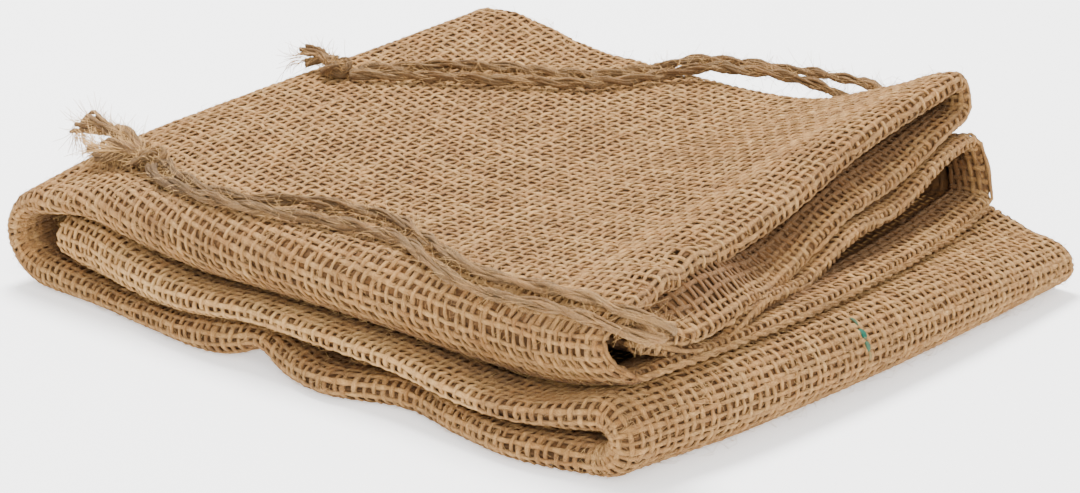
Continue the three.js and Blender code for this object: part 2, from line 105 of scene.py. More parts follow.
# The folded cloth: sizes and tables in millimetres
DEPTH = 180.0  # from side A to side C
CLOTH = 1.0  # thickness of a sheet
STRIP_GAP = 1.0  # between the inner and the top strip
LEFT_TURN_X = 8.0  # where the left fold starts
LEFT_TURN = (9.4, 14.5)  # how far the left fold bulges: innermost and outermost sheet
ROLL_TURN = (2.6, 11.0)  # the same for the roll
INNER_END_X = 10.0  # where the inner strip ends
HEM_EDGE_X, ROLL_EDGE_X = 205.0, 206.0  # where the edges' tables are read at the mouth and at the roll
HEM_REACH = 75.0  # how far in from the mouth its sheets spread
SIDE_BULGE_SHARE, SIDE_BULGE_MOST = 0.5, 8.5  # bulge of the outer fold on side A
NEST_SHARE, NEST_LEAST = 0.3, 1.6  # how far the nested fold lies inside the outer one
NEST_BULGE_SHARE, NEST_BULGE_LEAST = 0.16, 0.6
PAIR_SHARE, PAIR_LEAST, PAIR_MOST = 0.17, 0.7, 4.6  # bulge of the paired folds on side C
SIDE_PROBE = 6.0  # how far in from its sides a strip's thickness is taken
MOUTH_HOLLOW, HOLLOW_RUN = 8.0, 0.1  # how far the nested fold draws back at the mouth, and over what run
ACROSS = [0, 0.18, 0.45, 0.72, 1]  # shares of the depth, for the height tables' columns

# Height of the top of each strip. Columns: x, side A, near A, middle, near C, side C
TOP_STRIP = np.array([
    [5, 27.0, 33.2, 37.7, 40.7, 43.8],
    [16, 29.8, 35.2, 38.1, 40.3, 44.0],
    [30, 32.5, 36.5, 38.2, 39.5, 41.2],
    [46, 34.3, 36.5, 37.6, 38.2, 37.9],
    [62, 35.5, 36.4, 37.0, 37.4, 37.2],
    [95, 36.5, 36.0, 36.3, 36.5, 37.0],
    [130, 37.5, 36.5, 36.8, 37.5, 39.0],
    [158, 39.0, 38.0, 39.5, 44.0, 48.5],
    [185, 40.0, 40.0, 43.5, 52.0, 55.0],
    [214, 40.5, 41.5, 46.5, 54.5, 55.0],
])
INNER_STRIP = np.array([
    [5, 19.5, 21.0, 22.0, 22.0, 21.0],
    [24, 22.4, 21.3, 20.5, 20.0, 19.5],
    [44, 18.8, 19.0, 19.0, 18.8, 18.5],
    [66, 16.5, 18.0, 18.5, 18.3, 18.0],
    [92, 17.0, 17.5, 18.2, 18.0, 18.0],
    [133, 15.9, 17.0, 18.0, 18.0, 18.0],
    [165, 14.0, 16.5, 18.0, 18.3, 18.5],
    [186, 14.8, 17.0, 18.5, 18.5, 18.5],
    [200, 18.5, 19.5, 19.5, 18.0, 14.5],
    [214, 22.5, 21.5, 19.5, 17.0, 12.5],
])
BOTTOM_STRIP = np.array([
    [5, 9.0, 9.0, 9.0, 9.0, 9.0],
    [25, 6.0, 8.0, 8.6, 8.8, 8.8],
    [60, 7.0, 8.4, 8.8, 8.8, 8.8],
    [88, 9.6, 9.0, 8.8, 8.8, 8.8],
    [116, 6.8, 8.4, 8.8, 8.8, 8.8],
    [138, 7.8, 8.4, 8.8, 8.8, 8.8],
    [170, 7.4, 8.0, 8.6, 8.6, 8.3],
    [190, 7.8, 8.2, 8.4, 8.4, 7.6],
    [214, 8.8, 8.6, 8.2, 7.6, 5.8],
])
# Underside of the inner strip on side A, and the clear height under it. Columns: x, value
BRIDGE = np.array([
    [0, 6.9], [25, 7.3], [60, 8.2], [88, 10.8], [122, 11.0], [138, 10.4], [170, 8.6], [212, 11.0],
])
BRIDGE_REACH = 30.0
UNDER_INNER = np.array([[0, 0.7], [150, 0.7], [195, 1.6], [212, 2.6]])
# Where the strips' edges lie in Y. Columns: x, bottom, inner and top strip at A, then at C
EDGES = np.array([
    [5, 0.0, 4.0, -1.0, 181.0, 180.0, 180.5],
    [27, -0.5, 0.0, -1.0, 181.5, 179.5, 181.5],
    [50, -4.0, -4.5, -2.0, 181.0, 180.0, 181.5],
    [74, -7.1, -7.0, -3.5, 180.5, 180.5, 181.0],
    [92, -4.0, -6.0, -4.0, 181.0, 179.5, 180.0],
    [120, -9.7, -7.0, -3.5, 181.5, 180.0, 178.5],
    [142, -4.0, -7.0, -3.0, 181.0, 180.5, 178.0],
    [165, -9.0, -9.5, -2.5, 181.0, 180.0, 179.0],
    [183, -11.7, -10.5, -3.0, 180.5, 180.5, 179.0],
    [200, -9.0, -7.5, -3.0, 180.0, 180.0, 179.0],
    [214, -4.0, -4.0, -1.5, 179.0, 179.0, 179.0],
])
BOTTOM, INNER, TOP = 0, 1, 2
NOSE_X = [215.5, 219.0, 219.5, 217.5, 213.5]
# The four sheets at the mouth, from the lowest to the top one, at the shares of ACROSS
HEM_X = [
    [209, 210, 207, 199, 187],
    [204, 209, 198, 190, 182],
    [204, 209, 195, 187, 179],
    [209.5, 199, 190, 182, 177],
]
HEM_SHARE = [
    [0, 0, 0, 0, 0],
    [0.33, 0.14, 0.22, 0.35, 0.58],
    [0.67, 0.82, 0.52, 0.66, 0.7],
    [1, 1, 1, 1, 1],
]
HEM_DROOP = [
    [0, 0, 0, 0, 0],
    [0, 0, 1, 1, 0],
    [0, 11, 5.5, 6, 1],
    [0, 2.5, 3.5, 3, 0],
]
DROOP_REACH = 15.0
HEM_LIP = [  # half the thickness of the padded hem
    [0.9, 0.9, 1.0, 1.1, 1.2],
    [0.9, 1.0, 1.2, 1.3, 1.3],
    [1.2, 1.6, 1.7, 1.6, 1.5],
    [1.5, 2.3, 2.5, 2.4, 1.9],
]
# Puckers of the top sheet at the drawn-in corner. Columns: x, y, reach in x and in y, height
PUCKERS = [(200.0, 22.0, 5.0, 6.0, 2.0), (195.5, 39.0, 5.0, 5.0, 1.8)]
HEM_WAVES = [  # layer, height, length, shift
    (1 / 3, 1.9, 52.0, 0.9),
    (2 / 3, 1.7, 64.0, 3.6),
]
NOTCH_X, NOTCH_LIFT, NOTCH_HALF_WIDTH, NOTCH_FADE = 92.0, 4.2, 6.5, 14.0


def curve(xs, ys, at):
    """Smooth curve through a table's rows, flat beyond its ends. ys holds one value or one array a row."""
    xs = np.asarray(xs, float)
    at = np.clip(np.asarray(at, float), xs[0], xs[-1])
    ys = np.asarray(ys, float)
    last = len(xs) - 1
    i = np.clip(np.searchsorted(xs, at, side="left") - 1, 0, last - 1)

    def row(k):
        if ys.ndim == 1:
            return ys[k]
        return np.take_along_axis(ys, k[None], 0)[0]

    def slope(k):
        before, after = np.maximum(k - 1, 0), np.minimum(k + 1, last)
        return (row(after) - row(before)) / (xs[after] - xs[before])

    step = xs[i + 1] - xs[i]
    p = (at - xs[i]) / step
    q = 1 - p
    ends = (1 + 2 * p) * q * q * row(i) + p * p * (3 - 2 * p) * row(i + 1)
    return ends + p * q * step * (q * slope(i) - p * slope(i + 1))


def mix(a, b, p):
    return a + (b - a) * p


def smooth(p):
    q = np.clip(p, 0, 1)
    return q * q * (3 - 2 * q)


def look_up(table, k, x):
    return curve(table[:, 0], table[:, k], x)


def height_at(table, x, share):
    rows = np.stack([look_up(table, k + 1, x) for k in range(len(ACROSS))])
    return curve(ACROSS, rows, share)


def between_sheets(rows, share, layer):
    values = np.stack([curve(ACROSS, row, share) for row in rows])
    at = np.clip(layer, 0, 1) * 3
    i = np.minimum(at.astype(int), 2)
    low = np.take_along_axis(values, i[None], 0)[0]
    high = np.take_along_axis(values, i[None] + 1, 0)[0]
    return mix(low, high, at - i)


def top_height(x, share, layer):
    low = height_at(INNER_STRIP, x, share) + STRIP_GAP + CLOTH / 2
    high = height_at(TOP_STRIP, x, share) - CLOTH / 2
    near = smooth(1 + (x - HEM_EDGE_X) / HEM_REACH)
    spread = mix(layer, between_sheets(HEM_SHARE, share, layer), near)
    wave = 0
    for at_layer, height, length, shift in HEM_WAVES:
        weight = np.maximum(0, 1 - 3 * np.abs(layer - at_layer))
        wave = wave + weight * near**2 * height * np.sin(2 * np.pi * share * DEPTH / length + shift)
    in_from_hem = between_sheets(HEM_X, share, layer) - x
    droop = between_sheets(HEM_DROOP, share, layer) * smooth(1 - in_from_hem / DROOP_REACH)
    for at_x, at_y, reach_x, reach_y, height in PUCKERS:
        far = ((x - at_x) / reach_x) ** 2 + ((share * DEPTH - at_y) / reach_y) ** 2
        wave = wave + np.maximum(0, 3 * layer - 2) * height * np.exp(-far)
    return mix(low, high, spread) + wave - droop


def inner_height(x, share, layer):
    rest = height_at(BOTTOM_STRIP, x, share) + look_up(UNDER_INNER, 1, x)
    bridge = np.maximum(rest, look_up(BRIDGE, 1, x))
    low = mix(bridge, rest, smooth(share * DEPTH / BRIDGE_REACH)) + CLOTH / 2
    return mix(low, height_at(INNER_STRIP, x, share) - CLOTH / 2, layer)


def bottom_height(x, share, layer):
    across = np.exp(-np.maximum(share, 0) * DEPTH / NOTCH_FADE)
    lift = NOTCH_LIFT * np.exp(-(((x - NOTCH_X) / NOTCH_HALF_WIDTH) ** 2)) * across
    return mix(height_at(BOTTOM_STRIP, x, share) - CLOTH / 2, CLOTH / 2 + lift, layer)


def place_stage(stage, part, layer, y):
    """Points of one stage of the folds: 0 top strip, 1 left fold, 2 bottom strip, 3 roll, 4 inner strip."""
    share = y / DEPTH
    roll_x = curve(ACROSS, NOSE_X, share) - ROLL_TURN[1]
    if stage == 0:
        x = mix(between_sheets(HEM_X, share, layer), LEFT_TURN_X, part)
        return x, y, top_height(x, share, layer)
    if stage == 2:
        x = mix(LEFT_TURN_X, roll_x, part)
        return x, y, bottom_height(x, share, layer)
    if stage == 4:
        x = mix(roll_x, INNER_END_X, part)
        return x, y, inner_height(x, share, layer)
    left = stage == 1
    x = np.full_like(y, LEFT_TURN_X) if left else roll_x
    low = bottom_height(x, share, layer)
    high = top_height(x, share, layer) if left else inner_height(x, share, layer)
    bulge = mix(*(LEFT_TURN if left else ROLL_TURN), layer) * np.sin(part * np.pi)
    up = (high - low) / 2 * np.cos(part * np.pi)
    middle = (high + low) / 2
    if left:
        return x - bulge, y, middle + up
    return x + bulge, y, middle - up


def place(run, layer, y):
    """Points of the cloth's middle surface. run counts the stages from the mouth, 0 to 5."""
    run, layer, y = np.broadcast_arrays(run, layer, y)
    stage_of = np.clip(run.astype(int), 0, 4)
    points = np.zeros(run.shape + (3,))
    for stage in range(5):
        here = stage_of == stage
        if here.any():
            found = place_stage(stage, run[here] - stage, layer[here], y[here])
            points[here] = np.stack(found, -1)
    return points


def strip_edges(run):
    """Y of the edges on sides A and C."""
    run = np.asarray(run, float)
    stage_of = np.clip(run.astype(int), 0, 4)
    part = run - stage_of
    turned = (1 - np.cos(part * np.pi)) / 2
    sides = []
    for first in (1, 4):
        top = look_up(EDGES, first + TOP, mix(HEM_EDGE_X, LEFT_TURN_X, part))
        bottom = look_up(EDGES, first + BOTTOM, mix(LEFT_TURN_X, ROLL_EDGE_X, part))
        inner = look_up(EDGES, first + INNER, mix(ROLL_EDGE_X, INNER_END_X, part))
        ends = [look_up(EDGES, first + strip, x) for strip, x in (
            (TOP, LEFT_TURN_X), (BOTTOM, LEFT_TURN_X), (BOTTOM, ROLL_EDGE_X), (INNER, ROLL_EDGE_X))]
        left = mix(ends[0], ends[1], turned)
        roll = mix(ends[2], ends[3], turned)
        sides.append(np.select([stage_of == k for k in range(5)], [top, left, bottom, roll, inner]))
    return sides


# Distances along the unfolded cloth from the mouth, where the stages start, and round its closed section
STAGE_STARTS = [0.0, 190.0, 240.0, 440.0, 474.0, 668.0]
PANEL = 186.0  # from a fold on side A to a fold on side C
ROUND = 4 * PANEL
LENGTHWISE_COUNT, CROSSWISE_COUNT = 274, 300  # threads along the bag, and the most that run round it
LENGTH_PITCH, CROSS_PITCH = ROUND / LENGTHWISE_COUNT, 2.45
LAST_RUN, STATIONS = 4.999, 1600  # end of the last stage, and where the section is worked out up to there


def quarter_length(a, b):
    return np.pi / 2 * np.sqrt((a * a + b * b) / 2)


def section_table():
    """Sizes of the section at many stations, to be looked up by run."""
    run = np.linspace(0, LAST_RUN, STATIONS)
    edge_a, edge_c = strip_edges(run)

    def thick(y):
        return np.linalg.norm(place(run, 1.0, y) - place(run, 0.0, y), axis=-1)

    thick_a, thick_c = thick(edge_a + SIDE_PROBE), thick(edge_c - SIDE_PROBE)
    bulge = np.minimum(SIDE_BULGE_SHARE * thick_a, SIDE_BULGE_MOST)
    nest_bulge = np.maximum(NEST_BULGE_SHARE * thick_a, NEST_BULGE_LEAST)
    hollow = MOUTH_HOLLOW * np.exp(-((run / HOLLOW_RUN) ** 2))
    pair = np.clip(PAIR_SHARE * thick_c, PAIR_LEAST, PAIR_MOST)
    return {
        "run": run,
        "start": edge_a + bulge,
        "bulge": bulge,
        "fold": quarter_length(bulge, thick_a / 2),
        "nest_start": edge_a + np.maximum(NEST_SHARE * thick_a, NEST_LEAST) + nest_bulge + hollow,
        "nest_bulge": nest_bulge,
        "nest_fold": quarter_length(nest_bulge, thick_a / 6),
        "end": edge_c - pair,
        "pair": pair,
        "pair_fold": quarter_length(pair, thick_c / 6),
    }


SECTION = section_table()
SHEET_LAYER = np.array([1, 2 / 3, 1 / 3, 0])
PAIR_LAYER = np.array([5 / 6, 5 / 6, 1 / 6, 1 / 6])


def fold_place(along, around):
    """Stage, layer and Y at distances along and round the unfolded bag. Round starts at the outer fold on
    side A, goes over the top sheet to side C and back along the second, third and lowest sheet."""
    run = np.interp(along, STAGE_STARTS, range(6)).clip(0, LAST_RUN)
    around = np.mod(around, ROUND)
    run, around = np.broadcast_arrays(run, around)
    sheet = np.minimum((around / PANEL).astype(int), 3)
    from_a = np.where(sheet % 2 == 0, around - sheet * PANEL, (sheet + 1) * PANEL - around)
    size = {name: np.interp(run, SECTION["run"], values) for name, values in SECTION.items()}
    outer = (sheet == 0) | (sheet == 3)
    start = np.where(outer, size["start"], size["nest_start"])
    bulge = np.where(outer, size["bulge"], size["nest_bulge"])
    fold = np.where(outer, size["fold"], size["nest_fold"])
    flat = size["end"] - start
    at = from_a * (fold + flat + size["pair_fold"]) / PANEL
    turn_a = np.clip(at / fold, 0, 1) * np.pi / 2
    turn_c = np.clip((at - fold - flat) / size["pair_fold"], 0, 1) * np.pi / 2
    layer, middle = SHEET_LAYER[sheet], PAIR_LAYER[sheet]
    on_a, on_c = at < fold, at > fold + flat
    y = np.where(on_a, start - bulge * np.cos(turn_a), start + at - fold)
    y = np.where(on_c, size["end"] + size["pair"] * np.sin(turn_c), y)
    level = np.where(on_a, 0.5 + (layer - 0.5) * np.sin(turn_a), layer)
    level = np.where(on_c, middle + (layer - middle) * np.cos(turn_c), level)
    return run, level, y


def middle_surface(along, around):
    return place(*fold_place(along, around))


HEM_DEPTH, HEM_FULL = 24.0, 5.0  # where the padded hem ends, and up to where it is full
TURNED_IN = 0.7  # the turned-in side lies inside the outer one by this much at least
PROBE = 0.7  # step for normals


def unit(vectors):
    return vectors / np.maximum(np.linalg.norm(vectors, axis=-1, keepdims=True), 1e-9)


def cloth_frame(along, around):
    """Points, outward normals and directions along the bag."""
    points = middle_surface(along, around)
    forward = middle_surface(along + PROBE, around) - middle_surface(np.maximum(along - PROBE, 0), around)
    sideways = middle_surface(along, around + PROBE) - middle_surface(along, around - PROBE)
    return points, unit(np.cross(sideways, forward)), unit(forward)


def dressed(along, around, lift):
    """Points and outward normals of the outer skin, lifted off it. Below zero, along is in the hem."""
    along, around, lift = np.broadcast_arrays(np.asarray(along, float), around, lift)
    _, layer, y = fold_place(np.zeros_like(along), around)
    lip = between_sheets(HEM_LIP, y / DEPTH, layer)
    bend = lip * np.pi / 2
    turn = np.clip(along / lip, -np.pi / 2, np.pi / 2)
    from_edge = lip + np.maximum(np.abs(along) - bend, 0)
    points, normals, forward = cloth_frame(from_edge, around)
    normals = normals * np.sin(turn)[..., None] - forward * np.cos(turn)[..., None]
    offset = lip * smooth((HEM_DEPTH - from_edge) / (HEM_DEPTH - HEM_FULL)) + lift
    offset = np.where(along < 0, offset + TURNED_IN, offset)
    return points + normals * offset[..., None], normals


def top_face(x, y):
    """Height of the top face, with the rounded edge of side A."""
    share = y / DEPTH
    high = height_at(TOP_STRIP, x, share)
    low = height_at(INNER_STRIP, x, share) + STRIP_GAP
    bulge = np.minimum(SIDE_BULGE_SHARE * (high - low), SIDE_BULGE_MOST)
    past = np.clip((look_up(EDGES, 1 + TOP, x) + bulge - y) / bulge, 0, 1)
    return mix(low, high, 0.5 + 0.5 * np.sqrt(1 - past * past))


# Meshes
def add_piece(name, vertices, faces, material):
    """A mesh object from points in the working frame and a list of arrays, each of faces with equal corner
    counts."""
    mesh = bpy.data.meshes.new(name)
    vertices = to_frame(vertices).reshape(-1, 3)
    counts = np.concatenate([np.full(len(group), group.shape[1]) for group in faces])
    corners = np.concatenate([group.ravel() for group in faces])
    mesh.vertices.add(len(vertices))
    mesh.vertices.foreach_set("co", vertices.ravel())
    mesh.loops.add(len(corners))
    mesh.loops.foreach_set("vertex_index", corners.astype(np.int32))
    mesh.polygons.add(len(counts))
    mesh.polygons.foreach_set("loop_start", np.concatenate([[0], np.cumsum(counts)[:-1]]).astype(np.int32))
    mesh.polygons.foreach_set("use_smooth", np.ones(len(counts), bool))
    mesh.update(calc_edges=True)
    mesh.validate()
    mesh.materials.append(material)
    piece = bpy.data.objects.new(name, mesh)
    bpy.context.collection.objects.link(piece)
    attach(piece, "root")
    return piece


def add_values(piece, name, values):
    layer = piece.data.attributes.new(name, "FLOAT", "POINT")
    layer.data.foreach_set("value", np.asarray(values, np.float32).ravel())


def add_map(piece, name, corners):
    layer = piece.data.uv_layers.new(name=name)
    layer.data.foreach_set("uv", np.asarray(corners, np.float32).ravel())


MAP_SIDE, MAP_END = 0.04, 0.08  # margins of a tube's strip on its map, as shares of its width and height
CAP_WIDE, CAP_TALL = 0.3, 0.03  # half the size of a tube's ends on it


def strip_map(line, first, last, start, sides, stack):
    """Places of the tubes' corners on a map of strips, one to a line and as many above each other as stack
    says. first and last are the lines' ends, and start holds the samples that another one follows."""
    number = np.arange(len(first))
    wide, tall = 1 / math.ceil(len(first) / stack), 1 / stack
    left, base = (number // stack) * wide, (number % stack) * tall
    side = np.arange(sides)
    u0 = left[line[start]][:, None] + wide * (MAP_SIDE + (1 - 2 * MAP_SIDE) * side / sides)
    u1 = u0 + wide * (1 - 2 * MAP_SIDE) / sides
    step = tall * (1 - 2 * MAP_END) / (last - first)[line[start]]
    v0 = (base[line[start]] + tall * MAP_END + step * (start - first[line[start]]))[:, None] + 0 * u0
    v1 = v0 + step[:, None]
    strips = np.stack([u0, v0, u1, v0, u1, v1, u0, v1], -1).reshape(-1, 2)
    turn = 2 * np.pi * side / sides
    spot = np.stack([wide * (0.5 + CAP_WIDE * np.cos(turn)), tall * CAP_TALL * (1 + np.sin(turn))], -1)
    corner = np.stack([left, base], -1)[:, None]
    ends = np.concatenate([corner + spot, corner + spot + [0, (1 - 2 * CAP_TALL) * tall]]).reshape(-1, 2)
    return np.concatenate([strips, ends])


def tubes(centres, normals, line, half_width, half_height, angles, stack=1):
    """Closed tubes along lines of samples. line numbers the samples' lines, from 0 and in order. The halves
    are one value a sample or one a vertex. Returns the vertices, the faces of sides and ends, and the
    corners' places on a map."""
    count, sides = line[-1] + 1, len(angles)
    first = np.searchsorted(line, np.arange(count))
    last = np.searchsorted(line, np.arange(count), side="right") - 1
    start = np.flatnonzero(line[1:] == line[:-1])
    steps = np.zeros_like(centres)
    steps[start] += centres[start + 1] - centres[start]
    steps[start + 1] += centres[start + 1] - centres[start]
    tangents = unit(steps)
    across = unit(np.cross(tangents, normals))
    upward = np.cross(across, tangents)
    wide, tall = (np.reshape(half, (len(line), -1, 1)) for half in (half_width, half_height))
    ring = np.cos(angles)[:, None] * across[:, None] * wide
    ring = ring + np.sin(angles)[:, None] * upward[:, None] * tall
    vertices = centres[:, None] + ring
    index = np.arange(vertices.shape[0] * sides).reshape(-1, sides)
    after = np.roll(index, -1, axis=1)
    quads = np.stack([index[start], after[start], after[start + 1], index[start + 1]], -1)
    caps = np.concatenate([index[first][:, ::-1], index[last]])
    strips = strip_map(line, first, last, start, sides, stack)
    return vertices.reshape(-1, 3), [quads.reshape(-1, 4), caps], strips


STREAK_SHIFT = 7.3  # sets each thread's streaks apart from the next one's


def add_tubes(name, shape, line, along, tone, material, stack=1):
    """A piece of many tubes, with its tone and its places along and round each thread for the finish."""
    vertices, faces, strips = tubes(*shape[:2], line, *shape[2:], stack)
    sides = len(shape[-1])
    piece = add_piece(name, vertices, faces, material)
    add_values(piece, "tone", np.broadcast_to(np.reshape(tone, (len(line), -1)), (len(line), sides)))
    add_map(piece, "OFBake", strips)
    round_it = line[:, None] * STREAK_SHIFT + np.arange(sides) / sides
    places = np.stack(np.broadcast_arrays(along[:, None], round_it), -1)
    corners = np.concatenate([group.ravel() for group in faces])
    add_map(piece, "thread", places.reshape(-1, 2)[corners])
    return piece


# Shader building
def math_forms(operation):
    """An operator on sockets and its reflected form."""
    def plain(self, other):
        return self.math(operation, self, other)

    def reflected(self, other):
        return self.math(operation, other, self)

    return plain, reflected


class Wire:
    """A shader socket whose expressions add Math nodes."""

    __add__, __radd__ = math_forms("ADD")
    __sub__, __rsub__ = math_forms("SUBTRACT")
    __mul__, __rmul__ = math_forms("MULTIPLY")
    __pow__, __rpow__ = math_forms("POWER")

    def __init__(self, finish, socket):
        self.finish = finish
        self.socket = socket

    def math(self, operation, first, second):
        return self.finish.node("ShaderNodeMath", {"operation": operation}, {0: first, 1: second})

    def cosine(self):
        return self.math("COSINE", self, 0.0)

    def greater(self, other):
        return self.math("MAXIMUM", self, other)


class Finish:
    """A material under construction."""

    def __init__(self, name, **constants):
        self.material = bpy.data.materials.new(name)
        self.material.use_nodes = True
        self.tree = self.material.node_tree
        self.shader = self.tree.nodes["Principled BSDF"]
        for socket, value in constants.items():
            self.shader.inputs[socket.replace("_", " ")].default_value = value

    def node(self, kind, settings=None, sockets=None, output=0):
        """Adds a node, sets its settings, then gives its sockets values or links."""
        made = self.tree.nodes.new(kind)
        for name, value in (settings or {}).items():
            if name == "stops":
                self.set_stops(made.color_ramp.elements, value)
            else:
                setattr(made, name, value)
        for name, value in (sockets or {}).items():
            self.feed(made.inputs[name], value)
        return Wire(self, made.outputs[output])

    def set_stops(self, elements, stops):
        for k, (position, colour) in enumerate(stops):
            element = elements[k] if k < len(elements) else elements.new(position)
            element.position = position
            element.color = (*colour, 1)

    def feed(self, socket, value):
        if isinstance(value, Wire):
            self.tree.links.new(value.socket, socket)
        else:
            socket.default_value = value

    def map_axes(self, name):
        """Both values of a map, as sockets of their own."""
        split = self.node("ShaderNodeSeparateXYZ", None, {0: self.node("ShaderNodeUVMap", {"uv_map": name})})
        return split, Wire(self, split.socket.node.outputs[1])

    def places(self):
        return self.node("ShaderNodeTexCoord", output="Object")

    def attribute(self, name):
        return self.node("ShaderNodeAttribute", {"attribute_name": name}, output="Fac")

    def noise(self, vector, scale, detail=2.0, roughness=0.5):
        sockets = {"Vector": vector, "Scale": scale, "Detail": detail, "Roughness": roughness}
        return self.node("ShaderNodeTexNoise", None, sockets, output="Fac")

    def ramp(self, factor, stops):
        return self.node("ShaderNodeValToRGB", {"stops": stops}, {"Fac": factor}, output="Color")

    def blend(self, factor, first, second, how="MIX"):
        settings = {"data_type": "RGBA", "blend_type": how}
        return self.node("ShaderNodeMix", settings, {0: factor, 6: first, 7: second}, output=2)

    def bump(self, height, strength, distance):
        sockets = {"Height": height, "Strength": strength, "Distance": distance}
        return self.node("ShaderNodeBump", None, sockets, output="Normal")

    def surface(self, **sockets):
        for name, value in sockets.items():
            self.feed(self.shader.inputs[name.replace("_", " ")], value)
        return self.material


# Finishes, with linear colours
JUTE_DARK = (0.15, 0.066, 0.02)
JUTE_MIDDLE = (0.325, 0.17, 0.055)
JUTE_PALE = (0.62, 0.375, 0.145)
# Painted shade: the dark of the weave's holes and of the cloth seen through them
HOLE_SHADE_BROWN = (0.092, 0.046, 0.019)
TWINE_DARK = (0.075, 0.037, 0.015)
TWINE_MIDDLE = (0.168, 0.093, 0.037)
TWINE_PALE = (0.36, 0.205, 0.082)
MARKER_GREEN = (0.005, 0.06, 0.036)
JUTE_SHEEN = (1.0, 0.76, 0.48, 1.0)
STREAKS_ALONG, STREAKS_ROUND = 0.9, 11.0  # fibre streaks a millimetre and round a thread
STREAK_TWIST = 1.6
STREAK_WEIGHT, PATCH_WEIGHT, FLUFF_WEIGHT = 0.9, 0.55, 0.4  # how much each unevenness changes the tone


def thread_finish(name, dark, middle, pale):
    """Spun jute: the tone changes from thread to thread and along each, and streaks of fibre wind round."""
    finish = Finish(name, Roughness=0.9, Specular_IOR_Level=0.15,
                    Sheen_Weight=0.2, Sheen_Roughness=0.5, Sheen_Tint=JUTE_SHEEN)
    along, round_it = finish.map_axes("thread")
    wound = round_it * STREAKS_ROUND + along * STREAK_TWIST
    winding = finish.node("ShaderNodeCombineXYZ", None, {0: along * STREAKS_ALONG, 1: wound})
    streaks = finish.noise(winding, scale=1.0, detail=3.0, roughness=0.7)
    place_on = finish.places()
    patches = finish.noise(place_on, scale=55.0, detail=4.0, roughness=0.7)
    fluff = finish.noise(place_on, scale=2600.0, roughness=0.6)
    tone = finish.attribute("tone") + (streaks - 0.5) * STREAK_WEIGHT
    tone = tone + (patches - 0.5) * PATCH_WEIGHT + (fluff - 0.5) * FLUFF_WEIGHT
    colour = finish.ramp(tone, [(0.08, dark), (0.46, middle), (0.9, pale)])
    warmth = finish.noise(place_on, scale=160.0, detail=3.0, roughness=0.6)
    tint = finish.ramp(warmth, [(0.36, (1.0, 0.9, 0.8)), (0.6, (1.0, 1.0, 1.0))])
    colour = finish.blend(1.0, colour, tint, "MULTIPLY")
    normal = finish.bump(streaks + fluff * 0.7, strength=1.0, distance=0.0007)
    return finish.surface(Base_Color=colour, Normal=normal)


def backing_finish():
    """The cloth under the modelled threads: painted dark as the shade in their gaps, and a woven relief with
    painted shade in its holes where there are none.
    """
    finish = Finish("jute_backing", Roughness=0.95, Specular_IOR_Level=0.15)
    along, around = finish.map_axes("cloth")
    cross = (along * (math.pi / CROSS_PITCH)).cosine()
    length = (around * (math.pi / LENGTH_PITCH)).cosine()
    over = cross * length
    ridges = (cross**2 * (0.6 + 0.4 * over)).greater(length**2 * (0.6 - 0.4 * over))
    place_on = finish.places()
    patches = finish.noise(place_on, scale=70.0, detail=3.0, roughness=0.6)
    woven = finish.ramp(ridges + (patches - 0.5) * 0.3, [
        (0.3, HOLE_SHADE_BROWN), (0.55, JUTE_DARK), (0.75, JUTE_MIDDLE), (1.0, JUTE_PALE)])
    specks = finish.noise(place_on, scale=420.0, roughness=0.6)
    # Painted shade under the threads, seen through their gaps
    behind = finish.ramp(specks, [(0.4, HOLE_SHADE_BROWN), (0.75, JUTE_DARK)])
    colour = finish.blend(finish.attribute("covered"), woven, behind)
    normal = finish.bump(ridges, strength=0.8, distance=0.0006)
    return finish.surface(Base_Color=colour, Normal=normal)


def fibre_finish(name, middle, pale):
    finish = Finish(name, Roughness=0.7, Specular_IOR_Level=0.3)
    place_on = finish.places()
    patches = finish.noise(place_on, scale=40.0)
    return finish.surface(Base_Color=finish.ramp(patches, [(0.3, middle), (0.7, pale)]))


def marker_finish():
    finish = Finish("marker_thread", Roughness=0.8, Specular_IOR_Level=0.25)
    thread = finish.node("ShaderNodeUVMap", {"uv_map": "thread"})
    stretched = finish.node("ShaderNodeMapping", None, {"Vector": thread, "Scale": (0.5, 9.0, 1.0)})
    streaks = finish.noise(stretched, scale=3.0, detail=3.0)
    pale = tuple(1.7 * part for part in MARKER_GREEN)
    colour = finish.ramp(streaks, [(0.3, MARKER_GREEN), (0.8, pale)])
    colour = finish.blend(finish.attribute("tone"), (*JUTE_MIDDLE, 1), colour)
    return finish.surface(Base_Color=colour, Normal=finish.bump(streaks, strength=0.4, distance=0.0002))


jute_thread = thread_finish("jute_thread", JUTE_DARK, JUTE_MIDDLE, JUTE_PALE)
jute_twine = thread_finish("jute_twine", TWINE_DARK, TWINE_MIDDLE, TWINE_PALE)
jute_backing = backing_finish()
jute_fibre = fibre_finish("jute_fibre", JUTE_MIDDLE, JUTE_PALE)
marker_thread = marker_finish()


